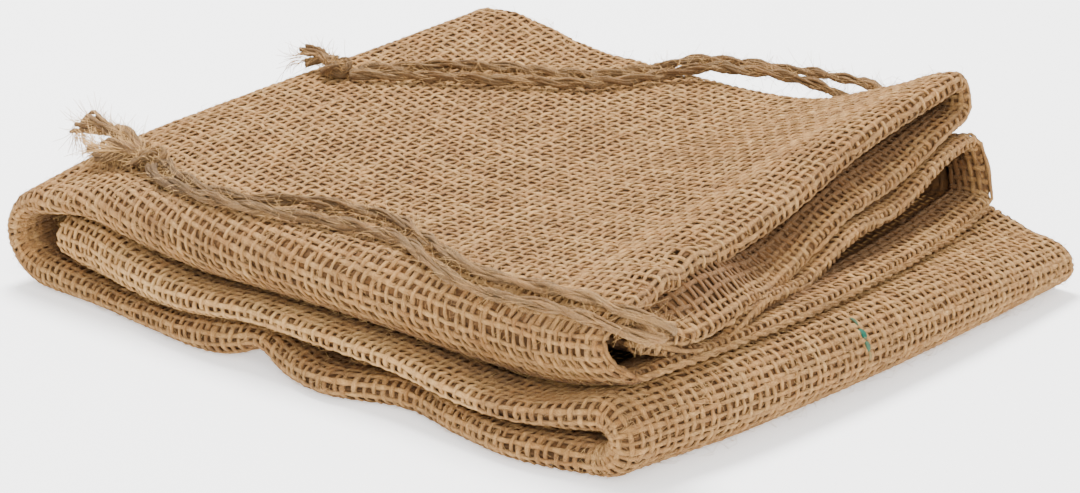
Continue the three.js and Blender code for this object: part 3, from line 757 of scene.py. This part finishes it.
# Cords: the routes of the four strands, from knot to hem, on the top face or at a height of their own
STRAND_RADIUS = 1.6
STRAND_REST = 2.15  # height of a strand's middle over the top face
STRAND_STEP, STRAND_FIBRES = 1.1, 600
FRONT_TWIST, BACK_TWIST = (30.0, 0.45), (19.0, 0.1)  # length of a turn, and how much paler the hem end is
ROUTES = {
    "front_strand_upper": [
        (36.2, 18.6), (40, 16.2), (46, 13.2), (53, 10.8), (61, 8.6), (70, 7.7), (78, 8.2), (84, 12),
        (90, 16.6), (99, 19), (110, 20), (120, 18.8), (129, 14.6), (138, 10, 39.6), (147, 5.4, 40.3),
        (152, 3.2, 40.3), (157, 1.8, 40), (163, 0.9, 39.6), (170, 0.4, 39.6), (178, 0.2, 39.9),
        (186, 0.2, 40.3), (194, 0.2, 40.7), (200, 0, 40.7), (205, -0.4, 40.2), (209.6, -0.1, 40),
        (213.6, 1.6, 38.8), (215.8, 5, 36.8), (215.2, 9, 34.8), (212, 11.8, 33.6), (207.6, 13, 33.4),
        (203, 13.3, 33.4),
    ],
    "front_strand_lower": [
        (35.4, 14.6), (39.4, 11), (46, 8), (53, 6), (61, 4.5), (70, 3.4), (78, 3.2), (86, 3.6), (93, 4.4),
        (101, 6), (112, 7.6), (122, 8), (131, 6.7, 39.5), (138, 4, 39.8), (145, 0.9, 39.1),
        (151, -0.7, 38.1), (157, -1.6, 37.1), (163, -2.2, 36.3), (170, -2.5, 36.2), (178, -2.6, 36.6),
        (186, -2.7, 37.1), (194, -2.9, 37.4), (200, -3.1, 37.3), (205, -3.2, 36.7), (209.4, -3, 36.5),
        (213.4, -1.4, 35.4), (215, 2.3, 34), (213.4, 6, 33), (209.4, 7.6, 32.7), (205.4, 7.9, 32.9),
        (201.4, 7.9, 33),
    ],
    "back_strand_upper": [
        (21, 107.2), (27, 115.5), (34, 125.5), (40, 132.6), (47, 138.8), (55, 143.2), (63, 147.4),
        (69.6, 153), (74, 161), (77.6, 169.6), (83.6, 176.8, 41.1), (91.6, 180.2, 42), (101, 181.8, 42.2),
        (110, 183.2, 42.4), (119.5, 184.8, 42.6), (129, 185.6, 42.6), (139, 185.6, 42.7), (147, 185.2, 41.6),
        (154, 184.2, 39.6), (160, 181.8, 37.6), (164, 177.6, 36.8), (166.2, 172.6, 36.9), (167, 167.4, 37),
    ],
    "back_strand_lower": [
        (21.6, 102.9), (29, 108.4), (37, 115), (45, 121.6), (53, 128.4), (61, 134.8), (69, 140.6),
        (75.2, 147.6), (79.4, 156), (82.8, 164.8), (87.6, 171.8, 40.2), (94.6, 175.4, 41.4),
        (103, 177.4, 41.6), (112, 179.4, 41.8), (121, 181.6, 41), (126, 182.8, 39.9), (130.4, 183.6, 38.7),
        (137, 184, 36.6), (143.5, 183, 34.6), (148.5, 179.6, 33.6), (151.4, 174.8, 33.4),
        (152.6, 169.4, 33.4),
    ],
}


def on_cover(point, rest):
    x, y, *own = point
    z = own[0] if own else float(top_face(np.array([x], float), np.array([y], float))[0]) + rest
    return np.array([x, y, z], float)


def distances(points):
    """How far along their line points lie."""
    return np.concatenate([[0], np.cumsum(np.linalg.norm(np.diff(points, axis=0), axis=1))])


FINE_STEPS = 24  # between two points of a route


def smooth_line(points, step):
    """A smooth line through given points, sampled evenly, and the samples' distances along it."""
    points = np.asarray(points, float)
    ends = np.concatenate([[2 * points[0] - points[1]], points, [2 * points[-1] - points[-2]]])
    before, start, end, after = (ends[k:len(ends) - 3 + k, None] for k in range(4))
    t = np.linspace(0, 1, FINE_STEPS, endpoint=False)[None, :, None]
    bend = 2 * start + (end - before) * t + (2 * before - 5 * start + 4 * end - after) * t**2
    fine = 0.5 * (bend + (3 * start - before - 3 * end + after) * t**3)
    fine = np.concatenate([fine.reshape(-1, 3), points[-1:]])
    gone = distances(fine)
    even = np.linspace(0, gone[-1], max(3, int(round(gone[-1] / step)) + 1))
    return np.stack([np.interp(even, gone, fine[:, k]) for k in range(3)], -1), even


def line_frame(line):
    """A direction beside a line that turns as little as it can, and the direction square to it."""
    tangents = unit(np.gradient(line, axis=0))
    beside = np.zeros_like(line)
    side = unit(np.cross(tangents[0], [0, 0, 1.0]))
    for k, tangent in enumerate(tangents):
        side = unit(side - tangent * (side @ tangent))
        beside[k] = side
    return beside, np.cross(tangents, beside)


YARNS = 5  # in each of the two plies
YARN_ROUGHNESS = 0.16
PLY_OUT, YARN_OUT, YARN_HALF = 0.46, 0.32, 0.3  # where plies and yarns lie and yarns' halves, in radii
YARN_TURN = 0.8  # length of a yarn's turn in its ply, as a share of the plies' turn
YARN_TONE, TONE_SPREAD = 0.46, 0.06
FRAYED = 0.2  # splayed yarns thin by up to this share, and stop within this share of the line's end
YARN_ANGLES = np.linspace(0, 2 * np.pi, 5, endpoint=False)


def twine_yarns(points, even, radius, turn, splay, paler=0.0):
    """The yarns of two twisted plies along a line, each with its centres, outward directions, halves, tones
    and distances along the line. splay parts and thins them towards the line's end, where each stops at its
    own length. paler is how much the tone rises from end to end."""
    beside, above = line_frame(points)
    gone = even / even[-1]
    loose = (1 + splay * gone**2)[:, None]
    frayed = FRAYED * min(splay, 1)

    def sway(size, length, phase):
        return size * np.sin(even / length + phase)

    for ply in (0, np.pi):
        angle = (2 * np.pi * even / turn + ply)[:, None]
        outward = np.cos(angle) * beside + np.sin(angle) * above
        sideways = np.cos(angle) * above - np.sin(angle) * beside
        ply_line = points + outward * loose * PLY_OUT * radius
        for yarn in range(YARNS):
            phase = rng.uniform(0, 2 * np.pi, 4)
            own = 2 * np.pi * (yarn / YARNS - even / (YARN_TURN * turn))
            own = own + sway(0.5, 4.3, phase[0])
            out = np.cos(own)[:, None] * outward + np.sin(own)[:, None] * sideways
            reach = YARN_OUT * radius * (1 + sway(0.35, 3.7, phase[1]))[:, None] * loose
            uneven = 1 + sway(0.14, 2.9, phase[2]) + sway(0.1, 1.1, phase[3])
            half = YARN_HALF * radius * uneven * (1 - frayed * gone**2)
            tone = rng.normal(YARN_TONE, TONE_SPREAD) + sway(0.07, 5.3, phase[2]) + paler * (gone - 0.5)
            kept = gone <= 1 - frayed * rng.uniform()
            yield (ply_line + out * reach)[kept], out[kept], half[kept], tone[kept], even[kept]


def add_twine(name, lines, material):
    """Twine as one piece. Each line is what twine_yarns takes."""
    yarns = [yarn for line in lines for yarn in twine_yarns(*line)]
    number = np.concatenate([np.full(len(yarn[0]), k) for k, yarn in enumerate(yarns)])
    centres, normals, half, tone, along = (np.concatenate(part) for part in zip(*yarns))
    half = half[:, None] * rng.normal(1, YARN_ROUGHNESS, (len(half), len(YARN_ANGLES))).clip(0.6, 1.4)
    return add_tubes(name, (centres, normals, half, half, YARN_ANGLES), number, along, tone, material)


def add_strand(name):
    line, even = smooth_line([on_cover(point, STRAND_REST) for point in ROUTES[name]], STRAND_STEP)
    turn, paler = FRONT_TWIST if name.startswith("front") else BACK_TWIST
    twine_line = line, even, STRAND_RADIUS, turn, 0.0, paler
    piece = add_twine(name + "_twine", [twine_line], jute_twine)
    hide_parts(name)
    return piece, line, even[-1]


def knot_line(middle, size):
    """A closed overhand knot, drawn tight."""
    t = np.linspace(0, 2 * np.pi, 60)
    loops = np.stack([np.sin(t) + 2 * np.sin(2 * t), np.cos(t) - 2 * np.cos(2 * t), -np.sin(3 * t)], -1)
    points = np.asarray(middle) + loops * size
    return points, distances(points)


FIBRE_ANGLES = np.radians([90, 210, 330])
FIBRE_SIDE = (0.3, 0.5, 0.81)  # the direction that every fibre's section is turned to
FIBRE_TIP, FIBRE_TONE = 0.45, 0.55
TUFT_RADIUS, CORD_FIBRE_RADIUS, CLOTH_FIBRE_RADIUS = 0.1, 0.07, 0.05


def add_fibres(name, starts, walks, radius, material):
    """Loose fibres as thin tubes: a start and the samples of a walk from it for each."""
    count, samples = walks.shape[:2]
    centres = (starts[:, None] + walks).reshape(-1, 3)
    line = np.repeat(np.arange(count), samples)
    side = np.broadcast_to(FIBRE_SIDE, centres.shape)
    taper = np.tile(np.linspace(1, FIBRE_TIP, samples), count) * radius
    shape = centres, side, taper, taper, FIBRE_ANGLES
    along = np.tile(np.arange(samples), count)
    stack = max(1, int(math.sqrt(count)))
    return add_tubes(name, shape, line, along, np.full(len(line), FIBRE_TONE), material, stack)


FRAY_OUT, FRAY_SWAY = 1.2, 0.35  # where fibres start beside a cord's line, and how far they stray


def fray(points, count, first, spread, length, both_ways=False):
    """Starts and walks of loose fibres along a cord, from a share of its length on. Each goes with the cord
    and then away from it."""
    beside, above = line_frame(points)
    tangents = unit(np.gradient(points, axis=0))
    at = rng.integers(int(first * len(points)), len(points), count)
    angle, reach = rng.uniform(0, 2 * np.pi, count)[:, None], rng.uniform(0.3, 1, count)[:, None, None]
    out = np.cos(angle) * beside[at] + np.sin(angle) * above[at]
    way = rng.choice([-1, 1], count)[:, None] if both_ways else 1
    t = np.linspace(0, 1, 4)[None, :, None]
    sway = rng.normal(0, FRAY_SWAY, (count, 1, 3))
    lean = (way * tangents[at])[:, None] * (1 - 0.3 * t) + (spread * out[:, None] + sway) * t
    return points[at] + out * FRAY_OUT, length * reach * t * lean


KNOT_RADIUS, KNOT_TURN, KNOT_REST, KNOT_FIBRES = 1.6, 14.0, 3.0, 200
TAIL_RADIUS, TAIL_TURN, TAIL_SPLAY, TAIL_STEP = 2.3, 34.0, 1.1, 0.9
FRONT_KNOT = on_cover((31, 17.4), KNOT_REST)
BACK_KNOT = on_cover((16, 103), KNOT_REST)
FRONT_TAILS = [
    [(29, 18.4, 39.6), (20, 21.5, 39.8), (11, 23.2, 40.4), (2.5, 24.2, 40.2), (-3.2, 24.8, 38.8),
     (-5.2, 25, 36.4), (-4, 24.8, 34.4)],
    [(29, 16.4, 39.2), (22, 16.2, 38.6), (16, 16, 37.2), (11, 15.8, 36.4)],
]
BACK_TAILS = [
    [(15, 103.6, 43.6), (10, 104.8, 43.6), (5.6, 103.6, 43.2), (2.2, 100.8, 42.4)],
]


def add_knot(name, middle, size, tails, fibres):
    points, gone = knot_line(middle, size)
    tail_lines = [smooth_line(tail, TAIL_STEP) for tail in tails]
    lines = [(points, gone, KNOT_RADIUS, KNOT_TURN, 0.0)]
    lines += [(line, even, TAIL_RADIUS, TAIL_TURN, TAIL_SPLAY) for line, even in tail_lines]
    knot = add_twine(name + "_twine", lines, jute_twine)
    frayed = [fray(line, fibres, first=0.05, spread=0.3, length=8.0) for line, _ in tail_lines]
    frayed += [fray(line, fibres // 3, first=0.05, spread=0.9, length=5.5) for line, _ in tail_lines]
    frayed.append(fray(points, KNOT_FIBRES, first=0, spread=0.9, length=3.4, both_ways=True))
    starts, walks = (np.concatenate(part) for part in zip(*frayed))
    tuft = add_fibres(name + "_tuft", starts, walks, TUFT_RADIUS, jute_fibre)
    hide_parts(name)
    return [knot, tuft]


strands = {name: add_strand(name) for name in ROUTES}
knots = {
    "front_strand_upper": add_knot("front_knot", FRONT_KNOT, size=1.25, tails=FRONT_TAILS, fibres=280),
    "back_strand_upper": add_knot("back_knot", BACK_KNOT, size=1.15, tails=BACK_TAILS, fibres=110),
}
for name, (twine, line, length) in strands.items():
    path = to_frame(line[::-1])
    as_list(knots.get(name, []))


def add_cord_fuzz():
    """Short fibres that stand off the strands."""
    lines = [line for _, line, _ in strands.values()]
    frayed = [fray(line, STRAND_FIBRES, 0.02, spread=0.7, length=4.5, both_ways=True) for line in lines]
    starts, walks = (np.concatenate(part) for part in zip(*frayed))
    return add_fibres("cord_fibres", starts, walks, CORD_FIBRE_RADIUS, jute_fibre)


add_cord_fuzz()


# The weave
CRIMP = 0.2  # how far threads rise and dip
THREAD_HALF_WIDTH, THREAD_HALF_HEIGHT = 0.76, 0.36
THREAD_ROUGHNESS = 0.13
LENGTH_SKEW, CROSS_SKEW = 0.3, 0.2  # most slant of the two sets of threads on the top strip, as slopes
SKEW_SHARE = [(0, 190, 245, 425), (0, 1, 1, 0)]  # how much of the crosswise slant there is along the bag
LENGTH_SLACK, SLACK_FROM = 0.2, 14.0  # how much wider lengthwise threads lie on the top, and from where
SLACK_SHARE = [(190, 270), (1, 0)]  # how much of that there is along the bag
CROSS_SLACK = [(0, 45, 190), (0, -4, 8)]  # shift of crosswise threads: close at the hem, wide on the top
FOLD_OVER = 1.4 * PANEL  # the slant goes over the fold on side C up to here
RING_ANGLES = np.radians([-14, 56, 124, 194])
CROSSING_PAINTED_SHADE = np.array([-0.14, 0.03, 0.03, -0.14])  # painted shade: a thread's four corners, darker at the sides
GAP_PAINTED_SHADE = np.array([-0.36, -0.03, -0.03, -0.36])  # the same painted shade beside the gaps of the weave
UNDER_PAINTED_SHADE = 0.2  # painted shade, darker where a thread dips under the next
DEEP_PAINTED_SHADE, DEEP_FROM, DEEP_REACH = 0.75, 3.0, 9.0  # painted shade, darker deep in the mouth
CREASE_PAINTED_SHADE, CREASE_FROM, CREASE_REACH = 0.45, 5.0, 8.0  # painted shade, the same in the creases between strips on side A
SHORTEST = 3  # samples that a thread needs
SPARE = 8  # how far past a stretch of the bag its threads are looked for


class ThreadFamily:
    """The unevenness of one set of threads: where each lies, and how thick and pale it is along its way."""

    WANDER = (61, 23), (0.22, 0.15)  # lengths of two waves, and their sizes
    SWELL = (37, 9), (0.1, 0.14)
    FADE = (83, 19), (0.05, 0.05)

    def __init__(self, count):
        self.count = count
        self.shift = rng.normal(0, 0.19, count)  # in millimetres
        self.thickness = rng.normal(1, 0.1, count).clip(0.75, 1.3)
        self.tone = rng.normal(0.52, 0.05, count)
        self.phases = rng.uniform(0, 2 * np.pi, (6, count))

    def waves(self, number, at, first, lengths, sizes):
        total = 0
        for k, (length, size) in enumerate(zip(lengths, sizes)):
            phase = self.phases[first + k, number % self.count][:, None]
            total = total + size * np.sin(2 * np.pi * at / length + phase)
        return total

    def wander(self, number, at):
        return self.shift[number % self.count][:, None] + self.waves(number, at, 0, *self.WANDER)

    def width(self, number, at):
        swell = self.waves(number, at, 2, *self.SWELL)
        return (self.thickness[number % self.count][:, None] + swell).clip(0.6, 1.5)

    def paleness(self, number, at):
        return self.tone[number % self.count][:, None] + self.waves(number, at, 4, *self.FADE)


lengthwise = ThreadFamily(LENGTHWISE_COUNT)
crosswise = ThreadFamily(CROSSWISE_COUNT)


def slanted(along, around):
    """The bag's grain is loose and askew on the top strip, most at the left fold, and straight below."""
    on_top = np.clip(along, 0, STAGE_STARTS[1])
    share = np.interp(along, *SKEW_SHARE)
    loose = np.interp(along, *SLACK_SHARE)
    from_fold = np.where(around < FOLD_OVER, around, 0)
    wider = np.interp(around, [SLACK_FROM, PANEL, ROUND], [0, LENGTH_SLACK * (PANEL - SLACK_FROM), 0])
    sideways = LENGTH_SKEW * on_top**2 / (2 * STAGE_STARTS[1]) + wider * loose
    return along + np.interp(along, *CROSS_SLACK) + CROSS_SKEW * from_fold * share, around + sideways


def add_threads(name, lengthways, numbers, positions, inside, paler):
    """One piece of threads of one set, where they lie inside a stretch of the bag."""
    family = lengthwise if lengthways else crosswise
    pitch, other_pitch = (LENGTH_PITCH, CROSS_PITCH) if lengthways else (CROSS_PITCH, LENGTH_PITCH)
    at = np.broadcast_to(positions, (len(numbers), len(positions)))
    across = numbers[:, None] * pitch + family.wander(numbers, at)
    over = np.cos(np.pi * (at / other_pitch + numbers[:, None])) * (1 if lengthways else -1)
    along, around = slanted(at, across) if lengthways else slanted(across, at)
    rows, samples = np.nonzero(inside(along, around))
    new_line = (np.diff(rows) != 0) | (np.diff(samples) != 1)
    line = np.concatenate([[0], np.cumsum(new_line)])
    kept = np.bincount(line)[line] >= SHORTEST
    rows, samples = rows[kept], samples[kept]
    line = np.unique(line[kept], return_inverse=True)[1]
    pick = rows, samples
    centres, normals = dressed(along[pick], around[pick], CRIMP * over[pick])
    width = family.width(numbers, at)[pick]
    rough = rng.normal(1, THREAD_ROUGHNESS, (len(line), len(RING_ANGLES))).clip(0.7, 1.35)
    half_width = THREAD_HALF_WIDTH * width[:, None] * rough
    half_height = THREAD_HALF_HEIGHT * (0.6 + 0.4 * width)[:, None] * rough
    shape = centres, normals, half_width, half_height, RING_ANGLES
    # Painted shade: a thread is darker where it dips under the next
    tone = paler + family.paleness(numbers, at)[pick] + UNDER_PAINTED_SHADE * (over[pick] - 1) / 2
    # Painted shade in the creases between strips on side A
    crease_shaded = (around[pick] < 0) | name.startswith("side_inner")
    tone = tone - CREASE_PAINTED_SHADE * crease_shaded * smooth((np.abs(around[pick]) - CREASE_FROM) / CREASE_REACH)
    # Painted shade deep in the mouth, under the sheets above
    if name.startswith("hem"):
        tone = tone - DEEP_PAINTED_SHADE * smooth((np.abs(along[pick]) - DEEP_FROM) / DEEP_REACH)
    # Painted shade at the sides of each thread, deepest beside the weave's gaps
    tone = tone[:, None] + mix(GAP_PAINTED_SHADE, CROSSING_PAINTED_SHADE, np.abs(over[pick])[:, None])
    return add_tubes(name, shape, line, at[pick], tone, jute_thread)


def patch(name, along_range, around_range, paler=0.0):
    """Both sets of threads over a stretch of the bag, as two pieces."""
    def inside(along, around):
        low, high = along_range[0] - CROSS_PITCH / 2, along_range[1] + CROSS_PITCH / 2
        near, far = around_range[0] - LENGTH_PITCH / 2, around_range[1] + LENGTH_PITCH / 2
        return (along >= low) & (along <= high) & (around >= near) & (around <= far)

    # Threads start well outside the stretch where the grain slants or lies wider
    drift = CROSS_SKEW * 1.1 * PANEL
    first, last = (int(v // CROSS_PITCH) for v in (along_range[0] - drift, along_range[1] + SPARE))
    drift = LENGTH_SKEW * 100 + LENGTH_SLACK * PANEL
    low, high = (int(v // LENGTH_PITCH) for v in (around_range[0] - drift, around_range[1] + SPARE))
    along_samples = np.arange(2 * first, 2 * last) * CROSS_PITCH / 2
    around_samples = np.arange(2 * low, 2 * high) * LENGTH_PITCH / 2
    return [
        add_threads(name + "_lengthwise", True, np.arange(low, high), along_samples, inside, paler),
        add_threads(name + "_crosswise", False, np.arange(first, last), around_samples, inside, paler),
    ]


# Visible stretches of the bag. Columns: name, along from and to, round from and to, and how much paler,
# which is painted light on a stretch that lies in shade
PATCHES = [
    ("top", (0, 191), (-17, 195)),
    ("left_fold", (191, 243), (-15, 195)),
    ("left_inside", (188, 246), (690, 729)),
    ("roll", (424, 506), (-15, 195)),
    ("side_bottom", (243, 424), (-15, 15)),
    # Painted light: the inner strip's face on side A lies in the top strip's shadow and is painted paler
    ("side_inner", (506, 668), (-15, 15), 0.26),
    ("behind_bottom", (243, 424), (178, 194)),
    ("behind_inner", (506, 668), (178, 194)),
    ("behind_low", (0, 668), (550, 566)),
    ("hem_first_inside", (-6, 0), (0, PANEL)),
    ("hem_second_inside", (-32, 0), (PANEL, 2 * PANEL)),
    ("hem_third_inside", (-5, 0), (2 * PANEL, 3 * PANEL)),
    ("hem_lowest_inside", (-13, 0), (3 * PANEL, ROUND)),
    ("hem_second", (0, 5), (195, 2 * PANEL)),
    ("hem_third", (0, 17), (2 * PANEL, 3 * PANEL)),
    ("hem_lowest", (0, 7), (3 * PANEL, 727)),
]
BACKING_LIFT, BACKING_HALF = -0.4, 0.12
NEAR_ALONG, NEAR_AROUND = 3, 4  # the backing counts as covered this far past the threads
EDGE_SHOWS, EDGE_REACH = 0.6, 4  # how much of its own weave shows at the hem's edge, and how far in


def backing_stations():
    """Distances along and round the bag, closer together at its folds."""
    along = np.concatenate([
        [-14, -9, -5, -3, -1.5, 0, 1.5, 3, 5, 9, 14, 20], np.linspace(28, 188, 24),
        np.linspace(190, 240, 17), np.linspace(248, 432, 24), np.linspace(440, 474, 13),
        np.linspace(482, 664, 24), [667.5]])
    quarter = np.concatenate([np.linspace(0, 16, 9), np.linspace(24, 160, 10), np.linspace(167, PANEL, 10)])
    around = np.concatenate([
        quarter, 2 * PANEL - quarter[::-1][1:], 2 * PANEL + quarter[1:], ROUND - quarter[::-1][1:-1]])
    return along, around


def backing_faces(rows, columns):
    """Quads and triangles of the two skins, joined at the mouth and sewn shut at the other end."""
    count = rows * columns
    index = np.arange(count).reshape(rows, columns)
    beside = np.roll(index, -1, axis=1)
    outer = np.stack([index[:-1], beside[:-1], beside[1:], index[1:]], -1).reshape(-1, 4)
    inner = np.stack([index[:-2], index[1:-1], beside[1:-1], beside[:-2]], -1).reshape(-1, 4) + count
    mouth = np.stack([index[0], index[0] + count, beside[0] + count, beside[0]], -1)
    half = columns // 2
    k = np.arange(1, half - 1)
    end, near_end = index[-1], index[-2]
    seam = np.stack([end[k], end[k + 1], end[columns - k - 1], end[columns - k]], -1)
    shut = np.stack([near_end[k], near_end[columns - k], near_end[columns - k - 1], near_end[k + 1]], -1)
    ends = [[end[v] for v in (0, 1, -1)], [end[half + v] for v in (-1, 0, 1)]]
    shut_ends = [[near_end[v] for v in (0, -1, 1)], [near_end[half + v] for v in (-1, 1, 0)]]
    quads = np.concatenate([outer, inner, mouth, seam, shut + count])
    return [quads, np.concatenate([ends, np.array(shut_ends) + count])]


def covered_by_threads(along, around):
    """Where threads lie over the backing, which is painted as shade there: 1 under them, less at the hem's
    edge, and 0 elsewhere.
    """
    covered = np.zeros((len(along), len(around)))
    for _, (u0, u1), (v0, v1), *_ in PATCHES:
        for side, shift in ((1, 0), (1, -ROUND), (-1, 0)):
            u, v = side * along[:, None], around + shift
            hit = (u >= u0 - NEAR_ALONG) & (u <= u1 + NEAR_ALONG)
            covered[hit & (v >= v0 - NEAR_AROUND) & (v <= v1 + NEAR_AROUND)] = 1
    return covered * (1 - EDGE_SHOWS * np.exp(-((along[:, None] / EDGE_REACH) ** 2)))


def add_backing():
    """The whole bag as one thin sheet, just under the threads: twelve sheets in three strips."""
    along, around = backing_stations()
    lifts = BACKING_LIFT + BACKING_HALF, BACKING_LIFT - BACKING_HALF
    skins = np.concatenate([dressed(along[:, None], around[None], lift)[0] for lift in lifts])
    faces = backing_faces(len(along), len(around))
    piece = add_piece("cover_cloth", skins, faces, jute_backing)
    covered = covered_by_threads(along, around)
    add_values(piece, "covered", np.concatenate([covered, covered]))
    place_on = np.stack(np.broadcast_arrays(along[:, None], around[None]), -1).reshape(-1, 2)
    used = np.concatenate([group.ravel() for group in faces]) % len(place_on)
    add_map(piece, "cloth", place_on[used])
    return piece


cloth = add_backing()
threads = [piece for row in PATCHES for piece in patch(*row)]


# Loose fibres on the cloth. Columns: fibres, along from and to, round from and to, longest, highest
FUZZ = [
    (4300, (2, 190), (14, 192), 4.0, 0.7),
    (1200, (0, 190), (-14, 14), 4.0, 0.9),
    (1000, (190, 242), (-10, 190), 4.0, 0.9),
    (2400, (428, 500), (-8, 192), 4.0, 0.8),
    (700, (243, 428), (-12, 12), 4.0, 1.2),
    (700, (500, 664), (-12, 12), 4.0, 1.2),
    (700, (0, 14), (0, ROUND), 4.0, 1.0),
    (260, (243, 428), (178, 194), 5.0, 2.0),
    (180, (0, 190), (176, 192), 6.0, 3.2),
    (150, (200, 232), (0, 190), 6.0, 3.0),
    (420, (440, 472), (0, 190), 7.0, 3.2),
]
FUZZ_SAMPLES = 3
FUZZ_LIFT, FUZZ_GROUND = 0.3, 0.1  # where fibres start over the threads' middles, and their least height
FUZZ_SHORTEST, FUZZ_TURN, FUZZ_FROM_EDGE = 1.2, 0.6, 0.5
FUZZ_ARC = (0.15, 2.1)  # start and length of the stretch of a sine wave on which a fibre rises and falls


def add_fuzz():
    """Fibres that leave the threads, run over the gaps and curl back. None goes below the ground."""
    grown = []
    step = np.linspace(0, 1, FUZZ_SAMPLES)
    for count, along_range, around_range, longest, highest in FUZZ:
        along = rng.uniform(*along_range, count)[:, None]
        around = rng.uniform(*around_range, count)[:, None]
        angle = rng.uniform(0, 2 * np.pi, count)[:, None] + rng.normal(0, FUZZ_TURN, count)[:, None] * step
        reach = rng.uniform(FUZZ_SHORTEST, longest, count)[:, None] * step
        rise = rng.uniform(0.2, 1, count)[:, None] ** 2 * highest * np.sin(FUZZ_ARC[0] + FUZZ_ARC[1] * step)
        along = np.maximum(along + reach * np.cos(angle), FUZZ_FROM_EDGE)
        points, _ = dressed(along, around + reach * np.sin(angle), FUZZ_LIFT + rise)
        points[..., 2] = np.maximum(points[..., 2], FUZZ_GROUND)
        grown.append(points)
    points = np.concatenate(grown)
    starts, walks = points[:, 0], points - points[:, :1]
    return add_fibres("cloth_fibres", starts, walks, CLOTH_FIBRE_RADIUS, jute_fibre)


fuzz = add_fuzz()


# The lowest sheet's edge is oversewn: a fine twisted cord along it
EDGE_TWIST_RADIUS, EDGE_TWIST_TURN, EDGE_TWIST_LIFT = 1.0, 8.0, 0.5
EDGE_TWIST_FROM, EDGE_TWIST_TO = 3 * PANEL + 8, ROUND - 10


def add_edge_twist():
    around = np.linspace(EDGE_TWIST_FROM, EDGE_TWIST_TO, 150)
    points, _ = dressed(np.zeros_like(around), around, EDGE_TWIST_LIFT)
    line = points, distances(points), EDGE_TWIST_RADIUS, EDGE_TWIST_TURN, 0.0
    return add_twine("hem_edge_twist", [line], jute_thread)


# A dyed thread shows in four stitches on the roll. Columns: along, round, half width, strength of the dye
MARKER_STITCHES = np.array([
    [469.5, 87.0, 0.5, 0.85], [465.4, 86.6, 1.1, 1.0], [462.0, 86.3, 0.9, 0.9], [459.4, 86.5, 0.5, 0.45]])
STITCH_HALF_LENGTH, STITCH_HALF_HEIGHT = 1.5, 0.3
STITCH_LIFT, STITCH_BOW = 0.1, 0.5  # of its ends, and how much higher its middle is


def add_marker():
    step = np.linspace(-1, 1, 5)
    middle, around, half, dye = np.repeat(MARKER_STITCHES, len(step), axis=0).T
    along = middle + np.tile(step, len(MARKER_STITCHES)) * STITCH_HALF_LENGTH
    bow = np.tile(1 - step**2, len(MARKER_STITCHES))
    centres, normals = dressed(along, around, STITCH_LIFT + STITCH_BOW * bow)
    line = np.repeat(np.arange(len(MARKER_STITCHES)), len(step))
    half_height = np.full_like(bow, STITCH_HALF_HEIGHT)
    shape = centres, normals, half * (0.6 + 0.4 * bow), half_height, RING_ANGLES
    return add_tubes("marker_stitches", shape, line, along, dye, marker_thread)


edge_twist = add_edge_twist()
marker = add_marker()
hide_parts("cover")


# Floor and light, in metres
FLOOR_SIZE, FLOOR_DROP = 6, 0.0004  # just below the lowest threads
LIGHT_AIM = (0, 0, 0.02)
WORLD_STRENGTH = 1.35


def add_stage():
    finish = Finish("pale_floor", Roughness=0.6, Emission_Strength=0.8)
    finish.surface(Base_Color=(0.92, 0.92, 0.92, 1), Emission_Color=(1, 1, 1, 1))
    bpy.ops.mesh.primitive_plane_add(size=FLOOR_SIZE, location=(0, 0, -FLOOR_DROP))
    floor = bpy.context.object
    floor.name = "floor"
    floor.data.materials.append(finish.material)
    floor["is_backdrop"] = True


def add_light(name, size, power, place_at):
    data = bpy.data.lights.new(name, "AREA")
    data.shape = "DISK"
    data.size = size
    data.energy = power
    light = bpy.data.objects.new(name, data)
    light.location = place_at
    light.rotation_euler = (Vector(LIGHT_AIM) - Vector(place_at)).to_track_quat("-Z", "Y").to_euler()
    bpy.context.collection.objects.link(light)


def add_world():
    world = bpy.data.worlds.new("studio")
    world.use_nodes = True
    background = world.node_tree.nodes["Background"].inputs
    background["Color"].default_value = (1, 1, 1, 1)
    background["Strength"].default_value = WORLD_STRENGTH
    bpy.context.scene.world = world


add_stage()
add_light("key", size=0.6, power=48.0, place_at=(-0.4, 0.25, 1.2))
add_light("fill", size=1.2, power=24.0, place_at=(1.05, -0.85, 0.65))
add_world()

boxes = {"cad": cad_box, "visual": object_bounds()}
{name: [[float(v) for v in corner] for corner in box] for name, box in boxes.items()}
